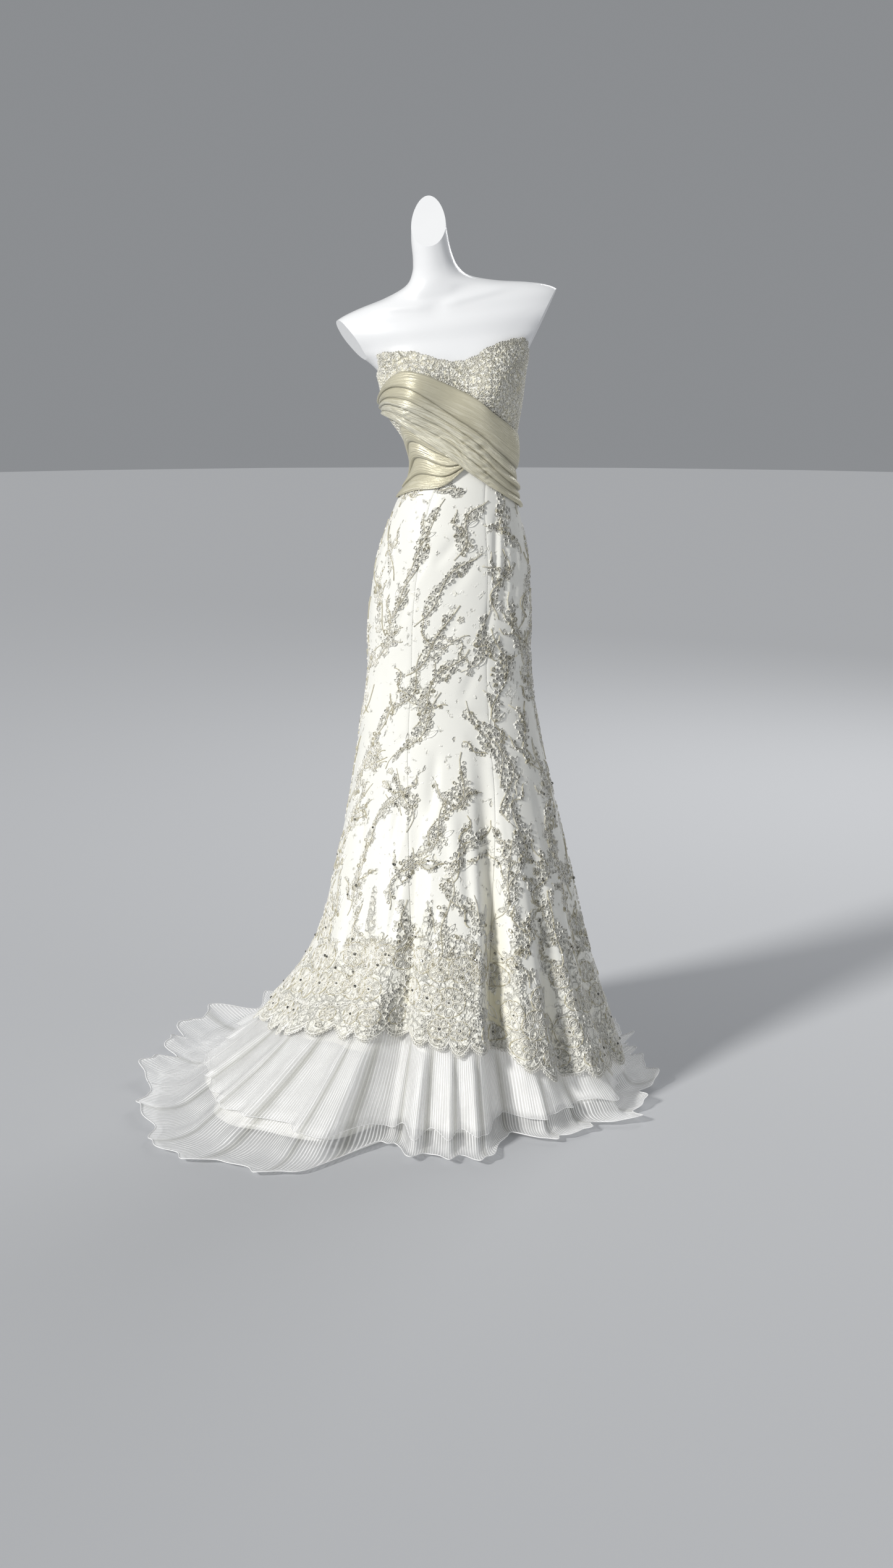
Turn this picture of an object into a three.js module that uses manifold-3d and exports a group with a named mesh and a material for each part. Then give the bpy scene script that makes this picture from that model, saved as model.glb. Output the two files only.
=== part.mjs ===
// A strapless mermaid gown with a pleated sash and a swept train, worn by a limbless dress form.
// Millimetres, +Z up, the gown's front towards -Y, the origin under the middle of the stand's base.
import * as THREE from "three";
import { mergeVertices } from "three/addons/utils/BufferGeometryUtils.js";
import Module from "manifold-3d";

// Driving dimensions
const WAIST = 1217; // height of the seam between bodice and skirt
const CLOTH = 1.6; // wall of the lace-covered satin
const SHEER = 1.1; // wall of the organza flounces
const BAND = 1.2; // wall of the sash
const SEAM = 0.3; // gap between neighbouring pieces
const EASE = { waist: 0.4, elsewhere: 4.4 }; // space between the dress form and the cloth
const BORDER = 46; // height of the scalloped lace edging
const SCALLOPS = 44; // scallops round the lace hem
const SCALLOP_DROP = 13;
const FLOUNCE_OVER = 74; // the flounces are sewn in this far above the lace hem
const TRAIN_START = 320; // the train leaves the cone of the skirt below this height
const FLOOR_CLEARANCE = 0.4;
const FRONT_SEAM = { hip: 27, hem: 18.2 }; // angle of the front princess seams
const SIDE_SEAM = (360 / SCALLOPS) * 10; // ten scallops from the centre front
const BACK_SEAM = 135;
const FORM_BOTTOM = 800;
const BASE = { radius: 175, thickness: 10, edge: 3 };
const POLE_RADIUS = 16;
const CUP = { out: 34, from_centre: 80, width: 48, height: 50, at: 1352 };

// Level cuts through the gown and the form above it: middle, half width, depth to the front
// and to the back, and the roll in degrees that lifts the +X side.
const SECTIONS = [
  { z: 0, cx: -10, cy: 0, w: 362, f: 396, b: 385, roll: 0 },
  { z: 190, cx: -4, cy: 0, w: 300, f: 316, b: 300, roll: 0 },
  { z: 323, cx: 3, cy: 0, w: 258, f: 246, b: 248, roll: 0 },
  { z: 448, cx: 3, cy: 0, w: 227, f: 196, b: 203, roll: 0 },
  { z: 572, cx: 2, cy: 0, w: 198, f: 156, b: 165, roll: 0 },
  { z: 695, cx: -3, cy: 0, w: 175, f: 127, b: 137, roll: 0 },
  { z: 816, cx: -4, cy: 0, w: 158, f: 112, b: 124, roll: 0 },
  { z: 936, cx: -2, cy: 0, w: 154, f: 106, b: 128, roll: 0 },
  { z: 1025, cx: 3, cy: 0, w: 146, f: 101, b: 122, roll: 0 },
  { z: 1083, cx: 6, cy: 0, w: 132, f: 95, b: 108, roll: 0 },
  { z: 1142, cx: 11, cy: 0, w: 114, f: 86, b: 92, roll: 0 },
  { z: 1200, cx: 22, cy: 0, w: 95, f: 78, b: 80, roll: 0 },
  { z: 1258, cx: 17, cy: 0, w: 105, f: 80, b: 84, roll: 1.2 },
  { z: 1315, cx: 5, cy: 0, w: 127, f: 86, b: 90, roll: 2.6 },
  { z: 1390, cx: 2, cy: 2, w: 142, f: 88, b: 92, roll: 5 },
  { z: 1416, cx: 0, cy: 4, w: 160, f: 84, b: 92, roll: 6 },
  { z: 1438, cx: -3, cy: 6, w: 186, f: 78, b: 90, roll: 6.6 },
  { z: 1464, cx: -7, cy: 8, w: 208, f: 70, b: 84, roll: 7.6 },
  { z: 1486, cx: -10, cy: 10, w: 216, f: 62, b: 76, roll: 8.4 },
  { z: 1501, cx: -12, cy: 11, w: 212, f: 58, b: 70, roll: 8.8 },
  { z: 1513, cx: -14, cy: 11, w: 192, f: 54, b: 64, roll: 9 },
  { z: 1523, cx: -16, cy: 10, w: 158, f: 51, b: 60, roll: 9 },
  { z: 1534, cx: -19, cy: 8, w: 106, f: 49, b: 56, roll: 9 },
  { z: 1549, cx: -24, cy: 5, w: 62, f: 46, b: 52, roll: 9 },
  { z: 1568, cx: -29, cy: 2, w: 44, f: 42, b: 48, roll: 8 },
  { z: 1592, cx: -34, cy: -2, w: 37, f: 39, b: 45, roll: 7 },
  { z: 1630, cx: -40, cy: -6, w: 34, f: 36, b: 42, roll: 6 },
  { z: 1730, cx: -46, cy: -8, w: 25, f: 33, b: 39, roll: 6 },
];

// The plan of the hem: reach of the flounce on the floor, height of the lace hem, width of the
// flounce's lip that lies out on the floor, and how high the lip's ruffles stand.
const HEM = [
  { angle: -180, reach: 505, lace: 112, lip: 60, lift: 30 },
  { angle: -152, reach: 556, lace: 120, lip: 66, lift: 38 },
  { angle: -133, reach: 584, lace: 128, lip: 70, lift: 44 },
  { angle: -112, reach: 602, lace: 138, lip: 70, lift: 46 },
  { angle: -92, reach: 604, lace: 147, lip: 64, lift: 38 },
  { angle: -74, reach: 630, lace: 158, lip: 58, lift: 24 },
  { angle: -52, reach: 676, lace: 180, lip: 62, lift: 12 },
  { angle: -38, reach: 650, lace: 193, lip: 56, lift: 10 },
  { angle: -28, reach: 590, lace: 196, lip: 44, lift: 10 },
  { angle: -18, reach: 448, lace: 193, lip: 26, lift: 12 },
  { angle: -4, reach: 460, lace: 184, lip: 30, lift: 12 },
  { angle: 11, reach: 466, lace: 174, lip: 32, lift: 12 },
  { angle: 24, reach: 412, lace: 146, lip: 30, lift: 12 },
  { angle: 41, reach: 428, lace: 104, lip: 34, lift: 12 },
  { angle: 54, reach: 434, lace: 92, lip: 36, lift: 14 },
  { angle: 68, reach: 424, lace: 80, lip: 34, lift: 18 },
  { angle: 90, reach: 400, lace: 68, lip: 42, lift: 32 },
  { angle: 115, reach: 410, lace: 76, lip: 50, lift: 36 },
  { angle: 150, reach: 456, lace: 96, lip: 58, lift: 34 },
];

// The flutes of the flared skirt: valleys that deepen from a start height to the hem.
const FLUTES = [
  { angle: -160, spread: 13, depth: 36, start: 640 },
  { angle: -131, spread: 15, depth: 34, start: 600 },
  { angle: -98, spread: 14, depth: 28, start: 520 },
  { angle: -68, spread: 13, depth: 18, start: 430 },
  { angle: -41, spread: 10, depth: 20, start: 480 },
  { angle: -18.8, spread: 8.5, depth: 42, start: 620 },
  { angle: 19.4, spread: 9, depth: 66, start: 740 },
  { angle: 44, spread: 9, depth: 36, start: 560 },
  { angle: 70, spread: 11, depth: 26, start: 560 },
  { angle: 101, spread: 14, depth: 34, start: 600 },
  { angle: 131, spread: 15, depth: 36, start: 600 },
  { angle: 161, spread: 13, depth: 38, start: 640 },
];

// The bodice's upper edge.
const NECKLINE = [
  { angle: -180, top: 1352 },
  { angle: -135, top: 1362 },
  { angle: -90, top: 1384 },
  { angle: -64, top: 1406 },
  { angle: -48, top: 1433 },
  { angle: -34, top: 1435 },
  { angle: -22, top: 1431 },
  { angle: -10, top: 1415 },
  { angle: 3, top: 1406 },
  { angle: 15, top: 1411 },
  { angle: 25, top: 1425 },
  { angle: 38, top: 1433 },
  { angle: 52, top: 1431 },
  { angle: 66, top: 1413 },
  { angle: 90, top: 1388 },
  { angle: 135, top: 1364 },
];

// The sash: its lower and upper edges on the body, and how far it stands off the body.
const SASH_UPPER = [
  { angle: -99, low: 1306, high: 1333, stand: 4 },
  { angle: -84, low: 1310, high: 1346, stand: 4.2 },
  { angle: -60, low: 1300, high: 1375, stand: 6.5 },
  { angle: -45, low: 1281, high: 1391, stand: 8.8 },
  { angle: -33, low: 1259, high: 1397, stand: 8.8 },
  { angle: -20, low: 1240, high: 1388, stand: 8.8 },
  { angle: -8, low: 1224, high: 1372, stand: 8.8 },
  { angle: 4, low: 1206, high: 1356, stand: 8.8 },
  { angle: 20, low: 1188, high: 1334, stand: 5.5 },
  { angle: 36, low: 1171, high: 1307, stand: 4.4 },
  { angle: 60, low: 1149, high: 1280, stand: 4 },
  { angle: 86, low: 1131, high: 1262, stand: 4 },
];
const SASH_LOWER = [
  { angle: -88, low: 1149, high: 1226, stand: 3.3 },
  { angle: -75, low: 1155, high: 1262, stand: 3.3 },
  { angle: -62, low: 1162, high: 1288, stand: 3.3 },
  { angle: -49, low: 1168, high: 1288, stand: 3.3 },
  { angle: -24, low: 1174, high: 1258, stand: 3.3 },
  { angle: -14, low: 1183, high: 1246, stand: 3.3 },
  { angle: -4, low: 1200, high: 1236, stand: 3.3 },
  { angle: 6, low: 1216, high: 1232, stand: 3.3 },
];
const SASH_BACK_RIGHT = [
  { angle: 86.3, low: 1131, high: 1262, stand: 2.8 },
  { angle: 130, low: 1136, high: 1254, stand: 2.8 },
  { angle: 179.6, low: 1140, high: 1248, stand: 2.8 },
];
const SASH_BACK_LEFT = [
  { angle: 180.4, low: 1140, high: 1248, stand: 2.8 },
  { angle: 230, low: 1145, high: 1240, stand: 2.8 },
  { angle: 271.4, low: 1149, high: 1226, stand: 2.8 },
];

const COLOURS = {
  lace: { color: 0xf1eedf, roughness: 0.75, metalness: 0 },
  bodice: { color: 0xd9d2b4, roughness: 0.7, metalness: 0 },
  sash: { color: 0xc4b98e, roughness: 0.42, metalness: 0 },
  organza: { color: 0xf4f4f2, roughness: 0.5, metalness: 0 },
  lining: { color: 0xf3f1e8, roughness: 0.38, metalness: 0 },
  buttons: { color: 0xefe9d6, roughness: 0.4, metalness: 0 },
  form: { color: 0xf2f3f4, roughness: 0.25, metalness: 0 },
  steel: { color: 0xb9bcc0, roughness: 0.35, metalness: 0.9 },
};

// Small helpers
const radians = (degrees) => (degrees * Math.PI) / 180;
const mix = (a, b, t) => a + (b - a) * t;
const clamp01 = (t) => Math.min(1, Math.max(0, t));
const smooth = (t) => clamp01(t) ** 2 * (3 - 2 * clamp01(t));
const turnBetween = (a, b) => ((((a - b + 180) % 360) + 360) % 360) - 180;
const steps = (from, to, count) =>
  Array.from({ length: count + 1 }, (_, i) => mix(from, to, i / count));

// A smooth curve through a table's rows: cubic between the rows, with the slope at each row
// taken from its two neighbours. A period makes it run round.
function columnOf(rows, along, key, period = 0) {
  const xs = rows.map((row) => row[along]);
  const ys = rows.map((row) => row[key]);
  const n = xs.length;
  const x = (i) => (period ? xs[((i % n) + n) % n] + period * Math.floor(i / n) : xs[i]);
  const y = (i) => (period ? ys[((i % n) + n) % n] : ys[i]);
  const last = period ? n : n - 1;
  const slope = (i) => {
    const a = period ? i - 1 : Math.max(0, i - 1);
    const b = period ? i + 1 : Math.min(n - 1, i + 1);
    return (y(b) - y(a)) / (x(b) - x(a));
  };
  return (at) => {
    const v = period ? xs[0] + ((((at - xs[0]) % period) + period) % period) : at;
    let i = 0;
    while (i < last - 1 && v > x(i + 1)) i += 1;
    const span = x(i + 1) - x(i);
    const t = clamp01((v - x(i)) / span);
    const [t2, t3] = [t * t, t * t * t];
    return (
      (2 * t3 - 3 * t2 + 1) * y(i) +
      (t3 - 2 * t2 + t) * span * slope(i) +
      (3 * t2 - 2 * t3) * y(i + 1) +
      (t3 - t2) * span * slope(i + 1)
    );
  };
}

const section = Object.fromEntries(
  ["cx", "cy", "w", "f", "b", "roll"].map((key) => [key, columnOf(SECTIONS, "z", key)]),
);
const hem = Object.fromEntries(
  ["reach", "lace", "lip", "lift"].map((key) => [key, columnOf(HEM, "angle", key, 360)]),
);
const neckline = columnOf(NECKLINE, "angle", "top", 360);

// The two bust cups: a rounded bump to each side of the centre front.
function cup(across, z, facing) {
  const side = (Math.abs(across - 3) - CUP.from_centre) / CUP.width;
  const up = (z - CUP.at) / CUP.height;
  return CUP.out * Math.exp(-side * side - up * up) * smooth(facing / 0.35);
}

// A flute's depth at an angle and height: a raised cosine across, growing towards the hem.
function fluting(angle, z) {
  let depth = 0;
  for (const flute of FLUTES) {
    const across = turnBetween(angle, flute.angle) / flute.spread;
    if (Math.abs(across) >= 1) continue;
    const grown = clamp01((flute.start - z) / (flute.start - 150)) ** 1.25;
    depth += flute.depth * grown * 0.5 * (1 + Math.cos(Math.PI * across));
  }
  return depth;
}

// The pull of the train: how far the skirt reaches beyond its plain cone, most at the floor.
function trainPull(angle, z) {
  if (z >= TRAIN_START) return 0;
  const [s, c] = [Math.sin(radians(angle)), Math.cos(radians(angle))];
  const foot = Math.hypot(
    section.cx(0) + section.w(0) * s,
    (c > 0 ? section.f(0) : section.b(0)) * c,
  );
  const pull = hem.reach(angle) - hem.lip(angle) - foot;
  return pull * ((TRAIN_START - z) / TRAIN_START) ** 1.9;
}

// A point of the cloth line: an ellipse with its own front and back depth at each height,
// with cups, flutes and train, rolled with the pose of the shoulders, and moved out.
function clothPoint(angle, z, out = 0) {
  const [s, c] = [Math.sin(radians(angle)), Math.cos(radians(angle))];
  const depth = c > 0 ? section.f(z) : section.b(z);
  const push = out + trainPull(angle, z) - fluting(angle, z);
  const across = (section.w(z) + push) * s;
  const roll = radians(section.roll(z));
  return new THREE.Vector3(
    section.cx(z) + across * Math.cos(roll),
    section.cy(z) - (depth + push) * c - (z > WAIST ? cup(across, z, c) : 0),
    z + across * Math.sin(roll),
  );
}

// A closed wall from a surface function of angle and of a share from the lower to the upper
// edge. The inner points lie a thickness inside the outer ones.
function wall(surface, angles, shares, thickness, ring = false) {
  const outer = [];
  const inner = [];
  const nudge = { angle: 0.4, share: 0.004 };
  for (const share of shares) {
    for (const angle of angles) {
      const at = surface(angle, share);
      const up = Math.min(1, share + nudge.share);
      const down = Math.max(0, share - nudge.share);
      const along = surface(angle + nudge.angle, share).sub(surface(angle - nudge.angle, share));
      const rise = surface(angle, up).sub(surface(angle, down));
      const normal = along.cross(rise).normalize();
      outer.push(at);
      inner.push(at.clone().addScaledVector(normal, -thickness));
    }
  }
  for (const point of [...outer, ...inner]) point.z = Math.max(point.z, FLOOR_CLEARANCE);
  const columns = angles.length;
  const rows = shares.length;
  const count = outer.length;
  const index = [];
  const quad = (a, b, c, d) => index.push(a, b, c, a, c, d);
  const id = (row, column) => row * columns + (column % columns);
  const spans = ring ? columns : columns - 1;
  for (let row = 0; row < rows - 1; row += 1) {
    for (let column = 0; column < spans; column += 1) {
      const [a, b] = [id(row, column), id(row, column + 1)];
      const [c, d] = [id(row + 1, column + 1), id(row + 1, column)];
      quad(a, b, c, d);
      quad(count + a, count + d, count + c, count + b);
    }
  }
  for (let column = 0; column < spans; column += 1) {
    const [a, b] = [id(0, column), id(0, column + 1)];
    quad(count + a, count + b, b, a);
    const [c, d] = [id(rows - 1, column), id(rows - 1, column + 1)];
    quad(c, d, count + d, count + c);
  }
  for (let row = 0; row < rows - 1 && !ring; row += 1) {
    const [a, d] = [id(row, 0), id(row + 1, 0)];
    quad(a, d, count + d, count + a);
    const [b, c] = [id(row, columns - 1), id(row + 1, columns - 1)];
    quad(b, count + b, count + c, c);
  }
  return closedMesh([...outer, ...inner], index);
}

function closedMesh(points, index) {
  const geometry = new THREE.BufferGeometry();
  const flat = points.flatMap((point) => [point.x, point.y, point.z]);
  geometry.setAttribute("position", new THREE.Float32BufferAttribute(flat, 3));
  geometry.setIndex(index);
  return geometry;
}

// Part group and materials
const gown = new THREE.Group();
gown.name = "mermaid_gown";

function add(name, geometry, finish) {
  geometry.computeVertexNormals();
  const material = new THREE.MeshStandardMaterial(COLOURS[finish]);
  material.name = finish;
  const mesh = new THREE.Mesh(geometry, material);
  mesh.name = name;
  gown.add(mesh);
}

// The angle of a seam at a height, less half a seam's gap to the side of the piece. A seam
// with two angles drifts from the one at the hip to the other at the hem.
function seamAngle(seam, z, side) {
  const angle = typeof seam === "number" ? seam : mix(seam.hem, seam.hip, smooth((z - 190) / 560));
  return angle + (side * SEAM * 90) / (Math.PI * section.w(z));
}

// Skirt gores of lace over satin, from the waist seam to the border. A gore is worked out
// with its share across, in hundredths, in place of the angle.
const laceHem = (angle) => hem.lace(angle) + BORDER - SCALLOP_DROP;
const GORE_ROWS = 12;
function gore(name, fromSeam, toSeam, columns) {
  const surface = (part, share) => {
    const at = (z) => mix(seamAngle(fromSeam, z, 1), seamAngle(toSeam, z, -1), part / 100);
    const rise = share - 0.11 * Math.sin(2 * Math.PI * share); // rows closer at both ends
    const z = mix(laceHem(at(190)) + SEAM, WAIST - SEAM, rise);
    return clothPoint(at(z), z);
  };
  add(name, wall(surface, steps(0, 100, columns), steps(0, 1, GORE_ROWS), CLOTH), "lace");
}

const right = FRONT_SEAM;
const left = { hip: -FRONT_SEAM.hip, hem: -FRONT_SEAM.hem };
gore("skirt_front", left, right, 11);
gore("skirt_side_front_left", -SIDE_SEAM, left, 14);
gore("skirt_side_front_right", right, SIDE_SEAM, 15);
gore("skirt_side_back_left", -BACK_SEAM, -SIDE_SEAM, 9);
gore("skirt_side_back_right", SIDE_SEAM, BACK_SEAM, 9);
gore("skirt_back_left", -180, -BACK_SEAM, 8);
gore("skirt_back_right", BACK_SEAM, 180, 8);

// The scalloped edging below the gores, one length to each side and one at the back
function borderSurface(angle, share) {
  const round = Math.abs(Math.sin((radians(angle) * SCALLOPS) / 2)) ** 0.7;
  const low = hem.lace(angle) - SCALLOP_DROP * round;
  return clothPoint(angle, mix(low, laceHem(angle) - 1, share));
}
function border(name, from, to) {
  const gap = (SEAM * 90) / (Math.PI * section.w(150));
  const columns = Math.round(((to - from) / 360) * SCALLOPS * 3);
  add(name, wall(borderSurface, steps(from + gap, to - gap, columns), [0, 1], CLOTH), "lace");
}
border("lace_border_front", -SIDE_SEAM, SIDE_SEAM);
border("lace_border_back_right", SIDE_SEAM, 180);
border("lace_border_back_left", -180, -SIDE_SEAM);

// Bodice panels from the waist seam to the sweetheart neckline
const PRINCESS = 32;
const BODICE_SCALLOPS = 40;
function bodiceSurface(angle, share) {
  const edge = 2.6 * Math.abs(Math.sin((radians(angle) * BODICE_SCALLOPS) / 2));
  const z = mix(WAIST + SEAM, neckline(angle) - 2.6 + edge, share);
  return clothPoint(angle, z);
}
function bodicePanel(name, from, to, columns, rows) {
  const gap = (SEAM * 90) / (Math.PI * 100);
  const angles = steps(from + gap, to - gap, columns);
  add(name, wall(bodiceSurface, angles, steps(0, 1, rows), CLOTH), "bodice");
}
bodicePanel("bodice_front", -PRINCESS, PRINCESS, 12, 8);
bodicePanel("bodice_side_front_right", PRINCESS, SIDE_SEAM, 8, 8);
bodicePanel("bodice_side_front_left", -SIDE_SEAM, -PRINCESS, 8, 8);
bodicePanel("bodice_side_back_right", SIDE_SEAM, BACK_SEAM, 6, 5);
bodicePanel("bodice_side_back_left", -BACK_SEAM, -SIDE_SEAM, 6, 5);
bodicePanel("bodice_back_right", BACK_SEAM, 180, 5, 5);
bodicePanel("bodice_back_left", -180, -BACK_SEAM, 5, 5);

// The sash: pleated bands that lie on the bodice, each pleat a rounded step
const PLEAT = { rise: 2.4, rows: [0, 0.3, 0.75] };
function sashBand(name, rows, pleats, columns) {
  const [low, high, stand] = ["low", "high", "stand"].map((key) => columnOf(rows, "angle", key));
  const surface = (angle, share) => {
    const within = share > 0.999 ? 0 : (share * pleats) % 1;
    const fold = PLEAT.rise * Math.sin(Math.PI * Math.sqrt(within));
    return clothPoint(angle, mix(low(angle), high(angle), share), stand(angle) + fold);
  };
  const shares = [...steps(0, pleats - 1, pleats - 1)].flatMap((pleat) =>
    PLEAT.rows.map((row) => (pleat + row) / pleats),
  );
  const angles = steps(rows[0].angle, rows.at(-1).angle, columns);
  add(name, wall(surface, angles, [...shares, 1], BAND), "sash");
}
sashBand("sash_lower", SASH_LOWER, 3, 10);
sashBand("sash_upper", SASH_UPPER, 4, 19);
sashBand("sash_back_right", SASH_BACK_RIGHT, 2, 9);
sashBand("sash_back_left", SASH_BACK_LEFT, 2, 9);

// Organza flounces below the lace. The lower one falls to the floor, turns out and ends in a
// ruffled lip; the upper one ends a little above it.
const RIPPLES = 32;
function ripple(angle) {
  const turn = radians(angle);
  return Math.sin(RIPPLES * turn + 1.2 * Math.sin(3 * turn + 0.8) + 0.6 * Math.sin(5 * turn));
}
const FLOUNCE_FALL = [
  { share: 0, lip: 1, z: 0 },
  { share: 0.2, lip: 0.5, z: 2 },
  { share: 0.4, lip: 0, z: 15 },
  { share: 0.7, lip: 0, z: 84 },
  { share: 1, lip: 0, z: 160 },
];
const fallLip = columnOf(FLOUNCE_FALL, "share", "lip");
const fallHeight = columnOf(FLOUNCE_FALL, "share", "z");
function flouncePoint(angle, z, inset, lip) {
  const wave = ripple(angle);
  const low = smooth(1 - z / hem.lace(angle));
  const gathers = mix(1, 11, low) * smooth((flounceTop(angle) - z) / 40);
  const point = clothPoint(angle, z, -inset + 10 * low + wave * gathers);
  const reach = lip * (10 + hem.lip(angle) * (1 + 0.12 * wave));
  const turn = radians(angle);
  point.x += Math.sin(turn) * reach;
  point.y -= Math.cos(turn) * reach;
  point.z += lip ** 1.5 * hem.lift(angle) * (0.7 + 0.3 * wave);
  return point;
}
const flounceTop = (angle) => hem.lace(angle) + FLOUNCE_OVER;
const UPPER_INSET = { seam: 8, below: 14 };
const LOWER_INSET = { seam: 17, below: 22 };
function lowerFlounce(angle, share) {
  const inset = mix(LOWER_INSET.below, LOWER_INSET.seam, smooth((share - 0.7) / 0.3));
  return flouncePoint(angle, Math.max(2, fallHeight(share)), inset, clamp01(fallLip(share)));
}
function upperFlounce(angle, share) {
  const foot = 16 + 0.62 * hem.lip(angle) + 5 * ripple(angle + 4);
  const inset = mix(UPPER_INSET.below, UPPER_INSET.seam, smooth((share - 0.6) / 0.4));
  return flouncePoint(angle, mix(foot, flounceTop(angle), share), inset, 0.14 * (1 - share) ** 4);
}
const FLOUNCE_PANELS = [
  { name: "front", from: -SIDE_SEAM, to: SIDE_SEAM, columns: 60 },
  { name: "back_right", from: SIDE_SEAM, to: 180, columns: 36 },
  { name: "back_left", from: -180, to: -SIDE_SEAM, columns: 36 },
];
function flounce(name, surface, shares) {
  for (const panel of FLOUNCE_PANELS) {
    const gap = (SEAM * 90) / (Math.PI * 300);
    const angles = steps(panel.from + gap, panel.to - gap, panel.columns);
    add(name + "_" + panel.name, wall(surface, angles, shares, SHEER), "organza");
  }
}
flounce("flounce_upper", upperFlounce, steps(0, 1, 3));
flounce("flounce_lower", lowerFlounce, [0, 0.2, 0.4, 0.7, 1]);

// The satin underskirt that shows through the organza
const UNDERSKIRT = { inset: 30, hem: 28, over: 30, columns: 90 };
const underskirtSurface = (angle, share) =>
  clothPoint(angle, mix(UNDERSKIRT.hem, hem.lace(angle) + UNDERSKIRT.over, share), -UNDERSKIRT.inset);
const underskirtAngles = steps(0, 360, UNDERSKIRT.columns).slice(0, -1);
add("underskirt", wall(underskirtSurface, underskirtAngles, [0, 0.5, 1], CLOTH, true), "lining");

// Covered buttons down the centre back
const BUTTON = { radius: 5.5, height: 4.4, seat: 0.5, beside: 6.5, pitch: 22 };
const buttonProfile = [
  [0, 0],
  [BUTTON.radius, 0.4],
  [0.8 * BUTTON.radius, 0.75 * BUTTON.height],
  [0, BUTTON.height],
].map(([r, h]) => new THREE.Vector2(r, h));
function button(name, z) {
  const geometry = new THREE.LatheGeometry(buttonProfile, 7);
  const angle = 180 - (BUTTON.beside / section.w(z)) * 57.3;
  const at = clothPoint(angle, z);
  const along = clothPoint(angle + 1, z).sub(clothPoint(angle - 1, z));
  const rise = clothPoint(angle, z + 2).sub(clothPoint(angle, z - 2));
  const normal = along.cross(rise).normalize();
  const turn = new THREE.Quaternion().setFromUnitVectors(new THREE.Vector3(0, 1, 0), normal);
  geometry.applyQuaternion(turn);
  const seat = at.addScaledVector(normal, BUTTON.seat);
  geometry.translate(seat.x, seat.y, seat.z);
  add(name, geometry, "buttons");
}
for (let i = 0; i < 4; i += 1) button("button_bodice_" + (i + 1), 1338 - i * BUTTON.pitch);
for (let i = 0; i < 3; i += 1) button("button_skirt_" + (i + 1), 1122 - i * BUTTON.pitch);

// The dress form: stacked rings inside the cloth line, cut flat at the arms and the neck
const wasm = await Module();
wasm.setup();

function solid(geometry) {
  const bare = geometry.clone();
  for (const key of ["normal", "uv"]) if (bare.getAttribute(key)) bare.deleteAttribute(key);
  const merged = mergeVertices(bare, 1e-4);
  return new wasm.Manifold(
    new wasm.Mesh({
      numProp: 3,
      vertProperties: merged.attributes.position.array,
      triVerts: new Uint32Array(merged.index.array),
    }),
  );
}

function geometryOf(manifold) {
  const mesh = manifold.getMesh();
  const geometry = new THREE.BufferGeometry();
  geometry.setAttribute("position", new THREE.Float32BufferAttribute(mesh.vertProperties, 3));
  geometry.setIndex([...mesh.triVerts]);
  return geometry;
}

// A large block whose one face lies in the cutting plane, on the side that is cut away.
const BLOCK = 600;
function cutBlock(point, normal) {
  const block = new THREE.BoxGeometry(BLOCK, BLOCK, BLOCK);
  block.translate(0, 0, BLOCK / 2);
  const facing = normal.clone().normalize();
  block.applyQuaternion(
    new THREE.Quaternion().setFromUnitVectors(new THREE.Vector3(0, 0, 1), facing),
  );
  block.translate(point.x, point.y, point.z);
  return solid(block);
}

const FORM_CUTS = [
  { at: [-204, 0, 1470], facing: [-0.8, -0.3, -0.52] },
  { at: [176, 0, 1496], facing: [0.9, -0.1, -0.42] },
  { at: [-43, -4, 1658], facing: [-0.12, -0.78, 0.62] },
];
const FORM_RINGS = [
  ...steps(FORM_BOTTOM, 1085, 5),
  ...steps(1109, WAIST, 5),
  ...steps(WAIST + 24, 1300, 3),
  ...steps(1328, 1496, 7),
  ...steps(1508, 1552, 4),
  ...steps(1568, 1725, 4),
];
const FORM_SIDES = 24;
function formGeometry() {
  const angles = steps(0, 360, FORM_SIDES).slice(0, -1);
  const above = 1440; // the form is bare above the bodice, and at its full size
  const inset = (z) => {
    const ease = mix(EASE.waist, EASE.elsewhere, smooth(Math.abs(z - WAIST) / 24));
    return (CLOTH + ease) * (1 - smooth((z - above) / 40));
  };
  const points = FORM_RINGS.flatMap((z) => angles.map((angle) => clothPoint(angle, z, -inset(z))));
  const index = [];
  const ringCount = FORM_RINGS.length;
  for (let ring = 0; ring < ringCount - 1; ring += 1) {
    for (let side = 0; side < FORM_SIDES; side += 1) {
      const next = (side + 1) % FORM_SIDES;
      const [a, b] = [ring * FORM_SIDES + side, ring * FORM_SIDES + next];
      index.push(a, b, b + FORM_SIDES, a, b + FORM_SIDES, a + FORM_SIDES);
    }
  }
  const low = points.length;
  points.push(new THREE.Vector3(section.cx(FORM_BOTTOM), 0, FORM_BOTTOM));
  points.push(clothPoint(0, 1725).add(clothPoint(180, 1725)).multiplyScalar(0.5));
  const top = (ringCount - 1) * FORM_SIDES;
  for (let side = 0; side < FORM_SIDES; side += 1) {
    const next = (side + 1) % FORM_SIDES;
    index.push(low, next, side, low + 1, top + side, top + next);
  }
  return closedMesh(points, index);
}
let torso = solid(formGeometry());
for (const cut of FORM_CUTS) {
  torso = torso.subtract(
    cutBlock(new THREE.Vector3(...cut.at), new THREE.Vector3(...cut.facing)),
  );
}
add("form_torso", geometryOf(torso), "form");

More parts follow.
